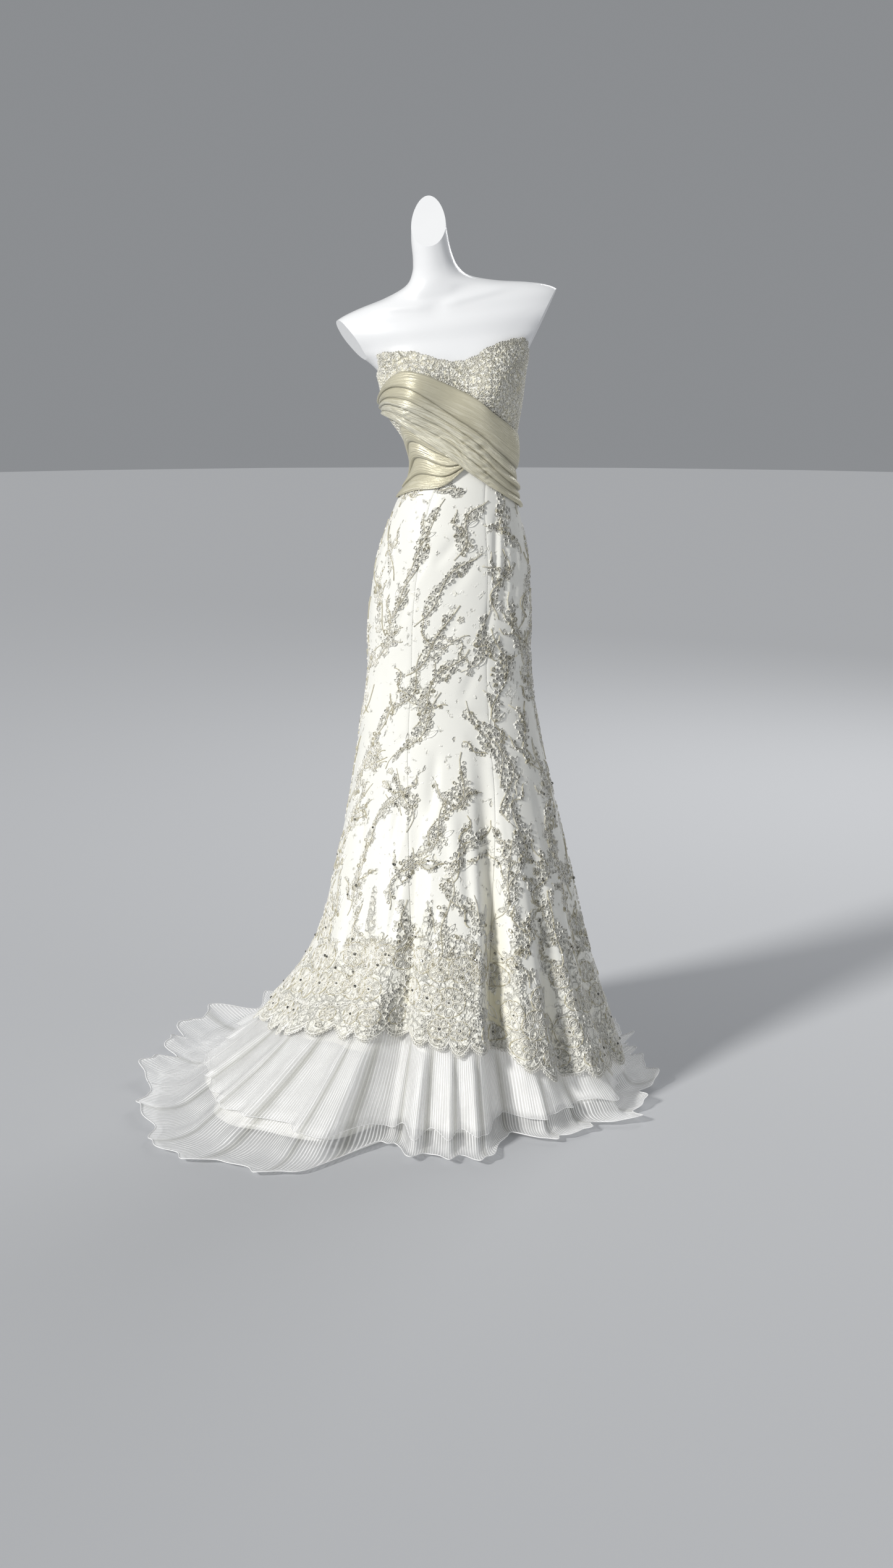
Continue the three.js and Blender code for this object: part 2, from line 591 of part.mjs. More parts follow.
// The stand: a round base plate, a collar on it, and a pole up to the form
const COLLAR = { radius: 28, height: 34 };
function turned(profile, sides) {
  const geometry = new THREE.LatheGeometry(
    profile.map(([r, h]) => new THREE.Vector2(r, h)),
    sides,
  );
  geometry.rotateX(Math.PI / 2);
  return geometry;
}
const baseTop = BASE.thickness;
add(
  "stand_base",
  turned(
    [
      [0, 0],
      [BASE.radius, 0],
      [BASE.radius, baseTop - BASE.edge],
      [BASE.radius - BASE.edge, baseTop],
      [0, baseTop],
    ],
    36,
  ),
  "steel",
);
add(
  "stand_collar",
  turned(
    [
      [POLE_RADIUS + SEAM, baseTop + SEAM],
      [COLLAR.radius, baseTop + SEAM],
      [COLLAR.radius, baseTop + COLLAR.height - 4],
      [COLLAR.radius - 4, baseTop + COLLAR.height],
      [POLE_RADIUS + SEAM, baseTop + COLLAR.height],
      [POLE_RADIUS + SEAM, baseTop + SEAM],
    ],
    18,
  ),
  "steel",
);
add(
  "stand_pole",
  turned(
    [
      [0, baseTop + SEAM],
      [POLE_RADIUS, baseTop + SEAM],
      [POLE_RADIUS, FORM_BOTTOM - SEAM],
      [0, FORM_BOTTOM - SEAM],
    ],
    18,
  ),
  "steel",
);

export default gown;
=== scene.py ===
"""A strapless mermaid gown of beaded lace over satin, with a pleated sash, sheer flounces and a
swept train, worn by a white dress form on a round base.

The tables are in millimetres and degrees, with angle 0 at the centre front (-Y) and +90 at +X.
The meshes are in metres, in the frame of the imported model.
"""

import logging
from collections.abc import Callable, Sequence
from dataclasses import dataclass, field
from enum import Enum
from functools import cache

import bmesh
import bpy
import numpy as np
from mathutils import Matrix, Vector


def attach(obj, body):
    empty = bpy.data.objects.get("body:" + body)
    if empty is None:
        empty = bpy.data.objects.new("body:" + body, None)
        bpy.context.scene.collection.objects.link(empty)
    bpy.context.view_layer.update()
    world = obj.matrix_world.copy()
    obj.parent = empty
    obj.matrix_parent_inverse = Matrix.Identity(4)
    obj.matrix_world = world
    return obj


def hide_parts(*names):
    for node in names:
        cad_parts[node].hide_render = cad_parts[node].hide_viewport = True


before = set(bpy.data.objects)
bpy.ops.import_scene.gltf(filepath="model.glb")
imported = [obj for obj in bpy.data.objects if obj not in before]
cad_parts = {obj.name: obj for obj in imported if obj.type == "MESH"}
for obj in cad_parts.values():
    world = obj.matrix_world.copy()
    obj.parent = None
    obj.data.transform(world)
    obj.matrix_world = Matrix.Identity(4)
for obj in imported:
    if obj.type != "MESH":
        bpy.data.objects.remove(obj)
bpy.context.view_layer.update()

Array = np.ndarray
Surface = Callable[[Array, Array], Array]
Colour = tuple[float, float, float]
Socket = bpy.types.NodeSocket
Material = bpy.types.Material
Object = bpy.types.Object
LOG = logging.getLogger("gown")
MM = 0.001

WAIST = 1217.0
SEAM = 0.3
SCALLOPS = 44
SIDE_SEAM = 3600 / SCALLOPS
BACK_SEAM = 135.0
PRINCESS = 32.0
FLARE_FOOT = 190.0
FLARE_HEIGHT = 560
EDGING_DEEP = 33
CREASES_TO = 1195
PICOT_DEEP = 2.6
PICOTS = 20
RADIAN = 57.3
TURN = 2 * np.pi

# height, middle x and y, half width, depth to the front and to the back, roll in degrees
SECTIONS = np.array([
    (0, -10, 0, 362, 396, 385, 0), (190, -4, 0, 300, 316, 300, 0),
    (323, 3, 0, 258, 246, 248, 0), (448, 3, 0, 227, 196, 203, 0),
    (572, 2, 0, 198, 156, 165, 0), (695, -3, 0, 175, 127, 137, 0),
    (816, -4, 0, 158, 112, 124, 0), (936, -2, 0, 154, 106, 128, 0),
    (1025, 3, 0, 146, 101, 122, 0), (1083, 6, 0, 132, 95, 108, 0),
    (1142, 11, 0, 114, 86, 92, 0), (1200, 22, 0, 95, 78, 80, 0),
    (1258, 17, 0, 105, 80, 84, 1.2), (1315, 5, 0, 127, 86, 90, 2.6),
    (1390, 2, 2, 142, 88, 92, 5), (1416, 0, 4, 160, 84, 92, 6),
    (1438, -3, 6, 186, 78, 90, 6.6), (1464, -7, 8, 208, 70, 84, 7.6),
    (1486, -10, 10, 216, 62, 76, 8.4), (1501, -12, 11, 212, 58, 70, 8.8),
    (1513, -14, 11, 192, 54, 64, 9), (1523, -16, 10, 158, 51, 60, 9),
    (1534, -19, 8, 106, 49, 56, 9), (1549, -24, 5, 62, 46, 52, 9),
    (1568, -29, 2, 44, 42, 48, 8), (1592, -34, -2, 37, 39, 45, 7),
    (1630, -40, -6, 34, 36, 42, 6), (1730, -46, -8, 25, 33, 39, 6),
], float)

# angle, reach of the flounce on the floor, height of the lace hem, width of the lip that lies
# out on the floor, and how high the lip's ruffles stand
HEM = np.array([
    (-180, 505, 112, 60, 30), (-152, 556, 120, 66, 38), (-133, 584, 128, 70, 44), (-112, 602, 138, 70, 46),
    (-92, 604, 147, 64, 38), (-74, 630, 158, 58, 24), (-52, 676, 180, 62, 12), (-38, 650, 193, 56, 10),
    (-28, 590, 196, 44, 10), (-18, 448, 193, 26, 12), (-4, 460, 184, 30, 12), (11, 466, 174, 32, 12),
    (24, 412, 146, 30, 12), (41, 428, 104, 34, 12), (54, 434, 92, 36, 14), (68, 424, 80, 34, 18),
    (90, 400, 68, 42, 32), (115, 410, 76, 50, 36), (150, 456, 96, 58, 34),
], float)

# valleys of the flared skirt: angle, half spread in degrees, depth at the hem, start height
FLUTES = (
    (-160, 13, 36, 640), (-131, 15, 34, 600), (-98, 14, 28, 520), (-68, 13, 18, 430),
    (-41, 10, 20, 480), (-18.8, 8.5, 42, 620), (19.4, 9, 66, 740), (44, 9, 36, 560),
    (70, 11, 26, 560), (101, 14, 34, 600), (131, 15, 36, 600), (161, 13, 38, 640),
)

# angle, height of the bodice's upper edge
NECKLINE = np.array([
    (-180, 1352), (-135, 1362), (-90, 1384), (-64, 1406), (-48, 1433), (-34, 1435),
    (-22, 1431), (-10, 1415), (3, 1406), (15, 1411), (25, 1425), (38, 1433), (52, 1431),
    (66, 1413), (90, 1388), (135, 1364),
], float)

# creases of the skirt: from angle and height, to angle and height, half width, depth outwards
SKIRT_CREASES = (
    (-15, 1030, 5, 1088, 10, -1.7), (-3, 980, 17, 1046, 12, -2.0), (-30, 1000, -17, 1066, 9, -1.2),
    (31, 990, 40, 1130, 8, -2.4), (40, 925, 45, 1095, 9, -2.1), (51, 950, 59, 1110, 9, -2.2),
    (35, 1000, 43, 1110, 6, 1.5), (22, 855, 33, 985, 10, -1.9), (-41, 900, -29, 990, 10, -1.5),
    (-11, 872, 7, 938, 13, -1.8), (8, 775, 21, 852, 11, -1.6), (-2, 768, 30, 744, 6, -1.9),
    (-25, 752, -7, 792, 9, 1.5), (-34, 700, -8, 728, 7, -1.7), (10, 716, 26, 660, 7, -1.6),
    (-8, 690, -13, 560, 11, -2.8), (-1, 600, 4, 420, 14, 2.6), (5, 560, 9, 330, 9, -3.0),
    (-30, 640, -33, 470, 12, -2.6), (-25, 520, -29, 300, 10, -3.2), (-50, 830, -45, 690, 10, -2.0),
    (-60, 620, -54, 450, 13, -3.0), (31, 640, 35, 430, 12, 2.4), (56, 620, 57, 400, 12, -2.6),
    (62, 860, 64, 735, 9, -2.0), (-70, 980, -62, 1080, 10, -1.8), (-52, 420, -57, 250, 12, -3.4),
    (-8, 420, -10, 240, 9, -3.0), (12, 330, 10, 215, 8, 2.2), (54, 330, 58, 190, 11, -3.0),
    (82, 900, 88, 1070, 11, -2.0), (84, 700, 82, 540, 12, -2.4), (-84, 860, -88, 690, 12, -2.2),
    (104, 980, 118, 1060, 11, -2.2), (126, 900, 141, 1000, 12, -2.4), (150, 1010, 164, 1090, 10, -2),
    (168, 900, 176, 1040, 10, -2.0), (-175, 880, -161, 960, 11, -2.2), (-156, 1000, -146, 1085, 10, -2),
    (-138, 930, -124, 1010, 11, -2.2), (-116, 1010, -104, 1080, 10, -2.0), (-128, 800, -108, 772, 7, -1.9),
    (118, 790, 142, 762, 7, -1.9), (150, 700, 146, 540, 12, -2.8), (-146, 690, -150, 530, 12, -2.8),
    (176, 620, 178, 430, 13, -2.8), (116, 620, 114, 440, 12, -2.6), (-114, 600, -116, 420, 12, -2.8),
    (146, 420, 148, 230, 11, -3.0), (-144, 430, -146, 240, 11, -3.2), (86, 420, 87, 220, 11, -3.0),
)

# fold lines of the upper sash: angle, then the shares up the band where a fold's lower edge lies
SASH_FOLDS = np.array([
    (-99, 0.22, 0.42, 0.60, 0.79), (-75, 0.24, 0.45, 0.62, 0.82), (-50, 0.25, 0.44, 0.60, 0.80),
    (-30, 0.24, 0.42, 0.57, 0.74), (-5, 0.20, 0.36, 0.50, 0.64), (20, 0.15, 0.30, 0.42, 0.57),
    (50, 0.12, 0.25, 0.38, 0.54), (86, 0.12, 0.24, 0.38, 0.54),
], float)

# fall of the lower flounce: share, how far along the lip, height
FALL = np.array([(0, 1, 0), (0.2, 0.5, 2), (0.4, 0, 15), (0.7, 0, 84), (1, 0, 160)], float)

# deep folds of the flounces: angle, half width in degrees, depth
DRAPES = (
    (-150, 3.2, 15), (-122, 3.0, 17), (-98, 2.8, 14), (-72, 2.6, 16), (-57, 1.8, 10), (-47, 2.2, 15),
    (-34, 1.4, 12), (-27, 2.2, 19), (-16, 1.4, 12), (-8, 2.4, 18), (1, 1.5, 11), (8, 1.9, 17),
    (19, 2.6, 15), (31, 1.8, 16), (43, 2.6, 13), (58, 2.2, 15), (77, 2.8, 13), (101, 3.0, 16),
    (126, 3.2, 12), (153, 3.0, 15),
)


class Hold(Enum):
    """How a sheet of cloth is held."""

    HUNG = "hung"
    GATHERED = "gathered"
    STRETCHED = "stretched"


class Slot(Enum):
    """Names of material slots."""

    LACE = "lace"
    BODICE = "bodice"
    SASH = "sash"
    ORGANZA = "organza"
    LINING = "lining"
    BUTTONS = "buttons"
    FORM = "form"
    STEEL = "steel"


# Curves and the line of the body

def smooth(t: Array) -> Array:
    """A soft step from 0 to 1: t squared times (3 - 2 t), with t held between 0 and 1."""
    t = np.clip(t, 0, 1)
    return t * t * (3 - 2 * t)


def mix(a: Array, b: Array, t: Array) -> Array:
    """The value a share t of the way from a to b."""
    return a + (b - a) * t


def wrap(angle: Array) -> Array:
    """The same angle between -180 and 180 degrees."""
    return (np.asarray(angle) + 180) % 360 - 180


def unit(v: Array) -> Array:
    """The vectors along the last axis at length 1."""
    return v / np.maximum(np.linalg.norm(v, axis=-1, keepdims=True), 1e-9)


def lean(along: Array, across: Array, degrees: Array) -> tuple[Array, Array]:
    """Right and up of a place along and across a line that leans right of upright."""
    s, c = np.sin(np.radians(degrees)), np.cos(np.radians(degrees))
    return along * s + across * c, along * c - across * s


@dataclass(frozen=True)
class Curves:
    """Smooth curves through the rows of a table: cubic between two rows, with the slope at each
    row taken from its two neighbours. The first column is the position and each other column is
    a curve. A period makes them run round."""

    rows: Array
    period: float = 0.0

    def __call__(self, at: Array) -> Array:
        """The curves at the given positions.

        Args:
            at: positions, of any shape.

        Returns:
            One array of that shape for each curve, stacked on a first axis.
        """
        x, y = self.rows[:, 0], self.rows[:, 1:]
        at = np.asarray(at, float)
        if self.period:
            x = np.concatenate([[x[-1] - self.period], x, x[:2] + self.period])
            y = np.concatenate([y[-1:], y, y[:2]])
            at = x[1] + (at - x[1]) % self.period
        else:
            x = np.concatenate([x[:1], x, x[-1:]])
            y = np.concatenate([y[:1], y, y[-1:]])
        slope = (y[2:] - y[:-2]) / (x[2:] - x[:-2])[:, None]
        x, y = x[1:-1], y[1:-1]
        i = np.clip(np.searchsorted(x, at) - 1, 0, len(x) - 2)
        span = x[i + 1] - x[i]
        t = np.clip((at - x[i]) / span, 0, 1)
        t2, t3 = t * t, t * t * t
        h = [v[..., None] for v in (2 * t3 - 3 * t2 + 1, (t3 - 2 * t2 + t) * span,
                                    3 * t2 - 2 * t3, (t3 - t2) * span)]
        value = h[0] * y[i] + h[1] * slope[i] + h[2] * y[i + 1] + h[3] * slope[i + 1]
        return np.moveaxis(value, -1, 0)


section = Curves(SECTIONS)
hem = Curves(HEM, 360)
neckline_curve = Curves(NECKLINE, 360)


def neckline(angle: Array) -> Array:
    """Height of the bodice's upper edge at an angle, before its small scallops."""
    return neckline_curve(angle)[0]


def scalloped_neckline(angle: Array) -> Array:
    """The bodice's upper edge with forty small scallops, 2.6 deep: |sin(20 angle)|."""
    return neckline(angle) - PICOT_DEEP + PICOT_DEEP * np.abs(np.sin(np.radians(angle) * PICOTS))


def lace_hem(angle: Array) -> Array:
    """Height of the seam between the gores and the scalloped edging."""
    return hem(angle)[1] + EDGING_DEEP


def scallop_low(angle: Array) -> Array:
    """Lower edge of the edging: lace - depth |sin(22 angle + 0.5 sin(5 angle))|^0.7, with a
    depth that wanders between about 9 and 23.

    Args:
        angle: degrees.

    Returns:
        Heights.
    """
    t = np.radians(angle)
    depth = 16 + 4 * np.sin(11 * t + 1) + 3 * np.sin(29 * t)
    return hem(angle)[1] - depth * np.abs(np.sin(t * SCALLOPS / 2 + 0.5 * np.sin(5 * t))) ** 0.7


def flame(angle: Array) -> Array:
    """How far the hem's lace climbs at an angle, from 0 to 1: two waves, squared.

    Args:
        angle: degrees.

    Returns:
        Shares.
    """
    t = np.radians(angle)
    wave = 0.5 + 0.36 * np.sin(15 * t + 1.5 * np.sin(4 * t)) + 0.2 * np.sin(37 * t + 2)
    return np.clip(wave, 0, 1) ** 2


def degree(z: Array) -> Array:
    """Length of a degree round the body at a height, on a circle of its half width."""
    return section(z)[2] * np.pi / 180


def flared_degree(z: Array) -> Array:
    """The same low on the skirt, where the flutes and the train make it longer."""
    return degree(z) * 1.15


def half_gap(radius: Array | float) -> Array | float:
    """Half a seam's gap in degrees, on a circle of that radius."""
    return SEAM * 90 / (np.pi * radius)


@dataclass(frozen=True)
class BodyLine:
    """The line of the cloth round the body, as a function of angle and height."""

    train_start: float = 320.0
    cup_out: float = 34.0
    cup_from_centre: float = 80.0
    cup_width: float = 48.0
    cup_height: float = 50.0
    cup_at: float = 1352.0
    cups_middle: float = 3.0
    cups_bridge: float = 10.0

    def fluting(self, angle: Array, z: Array) -> Array:
        """Depth of the flutes: for each one, depth x growth^1.25 x a raised cosine across it.

        Args:
            angle: degrees.
            z: heights.

        Returns:
            Depths in millimetres.
        """
        depth = np.zeros(np.broadcast(angle, z).shape)
        for at, spread, deep, start in FLUTES:
            across = np.clip(wrap(angle - at) / spread, -1, 1)
            grown = np.clip((start - z) / (start - 150), 0, 1) ** 1.25
            depth = depth + deep * grown * 0.5 * (1 + np.cos(np.pi * across))
        return depth

    def train(self, angle: Array, z: Array) -> Array:
        """How far the skirt reaches beyond its cone: pull x ((320 - z) / 320)^1.9.

        Args:
            angle: degrees.
            z: heights.

        Returns:
            Distances in millimetres.
        """
        reach, _, lip, _ = hem(angle)
        s, c = np.sin(np.radians(angle)), np.cos(np.radians(angle))
        _, cx, _, w, f, b, _ = SECTIONS[0]
        foot = np.hypot(cx + w * s, np.where(c > 0, f, b) * c)
        low = np.clip((self.train_start - z) / self.train_start, 0, None) ** 1.9
        return (reach - lip - foot) * low

    def point(self, angle: Array, z: Array, out: Array | float = 0.0) -> Array:
        """A point of the cloth.

        x = cx + a cos(roll), y = cy - (depth + push) cos(angle) - cup, z + a sin(roll), where
        a = (half width + push) sin(angle) and push = out + train - flutes. Each cup is a
        rounded swell, and the cloth bridges the hollow between the two.

        Args:
            angle: degrees from the centre front.
            z: height.
            out: distance outwards from the cloth's line.

        Returns:
            Points, with x, y and z on a last axis.
        """
        angle, z = np.broadcast_arrays(np.asarray(angle, float), np.asarray(z, float))
        s, c = np.sin(np.radians(angle)), np.cos(np.radians(angle))
        cx, cy, w, f, b, roll = section(z)
        push = out + self.train(angle, z) - self.fluting(angle, z)
        a = (w + push) * s
        aside = np.hypot(a - self.cups_middle, self.cups_bridge)
        side = (aside - self.cup_from_centre) / self.cup_width
        up = (z - self.cup_at) / self.cup_height
        cup = self.cup_out * np.exp(-side * side - up * up) * smooth(c / 0.35)
        turn = np.radians(roll)
        y = cy - (np.where(c > 0, f, b) + push) * c - np.where(z > WAIST, cup, 0)
        return np.stack([cx + a * np.cos(turn), y, z + a * np.sin(turn)], -1)


LINE = BodyLine()


def creasing(angle: Array, z: Array) -> Array:
    """Soft troughs and ridges along the skirt's crease rows.

    Each adds 1.7 depth x exp(-(distance / half width)^2) x sin(pi t)^0.6, where t is the share
    along it, and the distance is measured over the cloth.

    Args:
        angle: degrees.
        z: height.

    Returns:
        How far the cloth lies out of its line.
    """
    angle, z = np.broadcast_arrays(np.asarray(angle, float), np.asarray(z, float))
    wide = degree(z)
    total = np.zeros(angle.shape)
    for a0, z0, a1, z1, half, depth in SKIRT_CREASES:
        near = (z > min(z0, z1) - 3 * half) & (z < max(z0, z1) + 3 * half)
        if not near.any():
            continue
        k = wide[near]
        ax, ay = wrap(a1 - a0) * k, z1 - z0
        px, py = wrap(angle[near] - a0) * k, z[near] - z0
        t = np.clip((px * ax + py * ay) / (ax * ax + ay * ay), 0.001, 0.999)
        away = np.hypot(px - t * ax, py - t * ay) / half
        total[near] += 1.7 * depth * np.exp(-away * away) * np.sin(np.pi * t) ** 0.6
    return total


def calm_creasing(angle: Array, z: Array) -> Array:
    """The skirt's creases, fading out below the waist."""
    return creasing(angle, z) * smooth((CREASES_TO - z) / 40)


def skirt_ground(angle: Array, z: Array) -> Array:
    """The outer face of the skirt, with its creases."""
    return LINE.point(angle, z, calm_creasing(angle, z))


def valley_shade(angle: Array, z: Array) -> Array:
    """How deep in a flute the cloth lies, from 0 to 1, which also sets the painted shade in the valleys.
    """
    return np.clip(LINE.fluting(angle, z) / 50, 0, 1) ** 1.8


# Meshes

def grid_faces(rows: int, columns: int, ring: bool = False) -> Array:
    """The quads of a grid whose rows follow each other.

    Args:
        rows: rows of points.
        columns: points in a row.
        ring: whether the last column joins the first.

    Returns:
        Corner numbers, four to a face, turning outwards where columns run with the angle and
        rows run up.
    """
    r, c = np.meshgrid(np.arange(rows - 1), np.arange(columns - (not ring)), indexing="ij")
    n = (c + 1) % columns
    return np.stack([r * columns + c, r * columns + n, (r + 1) * columns + n,
                     (r + 1) * columns + c], -1).reshape(-1, 4)


def make_mesh(name: str, points: Array, faces: Array | list, uv: Array | None = None,
              **attributes: Array) -> Object:
    """Makes a smooth-shaded object from points in millimetres.

    Args:
        name: the object's name.
        points: points, with x, y and z on a last axis.
        faces: corner numbers of each face.
        uv: one pair of UV coordinates for each point.
        attributes: one number for each point, by attribute name.

    Returns:
        The object, at the origin.
    """
    mesh = bpy.data.meshes.new(name)
    flat = faces.tolist() if isinstance(faces, np.ndarray) else faces
    mesh.from_pydata((points.reshape(-1, 3) * MM).tolist(), [], flat)
    mesh.polygons.foreach_set("use_smooth", np.ones(len(mesh.polygons), bool))
    for key, values in attributes.items():
        layer = mesh.attributes.new(key, "FLOAT", "POINT")
        layer.data.foreach_set("value", np.asarray(values, np.float32).ravel())
    if uv is not None:
        corner = np.zeros(len(mesh.loops), np.int32)
        mesh.loops.foreach_get("vertex_index", corner)
        layer = mesh.uv_layers.new(name="UVMap")
        layer.data.foreach_set("uv", uv.reshape(-1, 2)[corner].astype(np.float32).ravel())
    mesh.update()
    obj = bpy.data.objects.new(name, mesh)
    bpy.context.scene.collection.objects.link(obj)
    return obj


def dress(obj: Object, finish: Material, node: str = "") -> Object:
    """Gives a piece its material and its body.

    Args:
        obj: the piece.
        finish: its material.
        node: the CAD node that it replaces, if any.

    Returns:
        The same piece.
    """
    obj.data.materials.clear()
    obj.data.materials.append(finish)
    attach(obj, "root")
    if node:
        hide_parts(node)
    LOG.info("%s: %d faces", obj.name, len(obj.data.polygons))
    return obj


@dataclass(frozen=True)
class Cloth:
    """One cut of cloth laid over a surface, with a small thickness inwards."""

    node: str
    kind: str
    slot: Slot
    held: Hold
    rests_on: str
    thickness: float = 1.2
    fullness: float = 1.0

    def make(self, points: Array, finish: Material, ring: bool = False,
             uv: Array | None = None, **attributes: Array) -> Object:
        """Makes the cut: the grid's mesh, thickened inwards by the cloth's thickness, with its material.

        Args:
            points: (rows, columns, 3) points in millimetres.
            finish: material.
            ring: whether the rows close.
            uv: UV coordinates of the points.
            attributes: further numbers for each point.

        Returns:
            The piece.
        """
        faces = grid_faces(*points.shape[:2], ring)
        obj = make_mesh(f"{self.node}_{self.kind}", points, faces, uv, **attributes)
        wall = obj.modifiers.new("Thickness", "SOLIDIFY")
        wall.thickness, wall.offset, wall.use_rim = self.thickness * MM, -1, True
        dress(obj, finish, self.node)
        return obj


def merge(obj: Object, recalculate: bool = False) -> None:
    """Joins the points of a mesh that lie on each other, and turns its faces out if asked.

    Args:
        obj: the piece.
        recalculate: whether its faces are turned out.
    """
    bm = bmesh.new()
    bm.from_mesh(obj.data)
    bmesh.ops.remove_doubles(bm, verts=bm.verts, dist=2e-6)
    bmesh.ops.dissolve_degenerate(bm, edges=bm.edges, dist=1e-6)
    if recalculate:
        bmesh.ops.recalc_face_normals(bm, faces=bm.faces)
    bm.to_mesh(obj.data)
    bm.free()


def turned(name: str, profile: Sequence[tuple[float, float]], sides: int,
           place: Callable[[Array], Array] = np.asarray) -> Object:
    """A profile turned round the upright axis: (r cos t, r sin t, h), with r 0 closed to a pole.

    Args:
        name: the object's name.
        profile: (radius, height) from the lower pole to the upper one, or a closed ring.
        sides: sides round.
        place: moves the points to their place.

    Returns:
        The object.
    """
    rh = np.array(profile, float)
    t = np.arange(sides) * TURN / sides
    points = np.stack([rh[:, :1] * np.cos(t), rh[:, :1] * np.sin(t),
                       np.broadcast_to(rh[:, 1:], (len(rh), sides))], -1)
    obj = make_mesh(name, place(points), grid_faces(len(rh), sides, True))
    merge(obj)
    return obj


# Lace as cords, rings and beads

ICO = np.array([(0, -1, 1.618), (0, 1, 1.618), (0, -1, -1.618), (0, 1, -1.618), (1.618, 0, 1),
                (1.618, 0, -1), (-1.618, 0, 1), (-1.618, 0, -1), (1, 1.618, 0), (-1, 1.618, 0),
                (1, -1.618, 0), (-1, -1.618, 0)]) / 1.902
ICO_FACES = np.array([(0, 4, 1), (0, 1, 6), (0, 6, 11), (0, 11, 10), (0, 10, 4), (4, 10, 5),
                      (4, 5, 8), (4, 8, 1), (1, 8, 9), (1, 9, 6), (6, 9, 7), (6, 7, 11),
                      (11, 7, 2), (11, 2, 10), (10, 2, 5), (5, 2, 3), (5, 3, 8), (8, 3, 9),
                      (9, 3, 7), (7, 3, 2)])


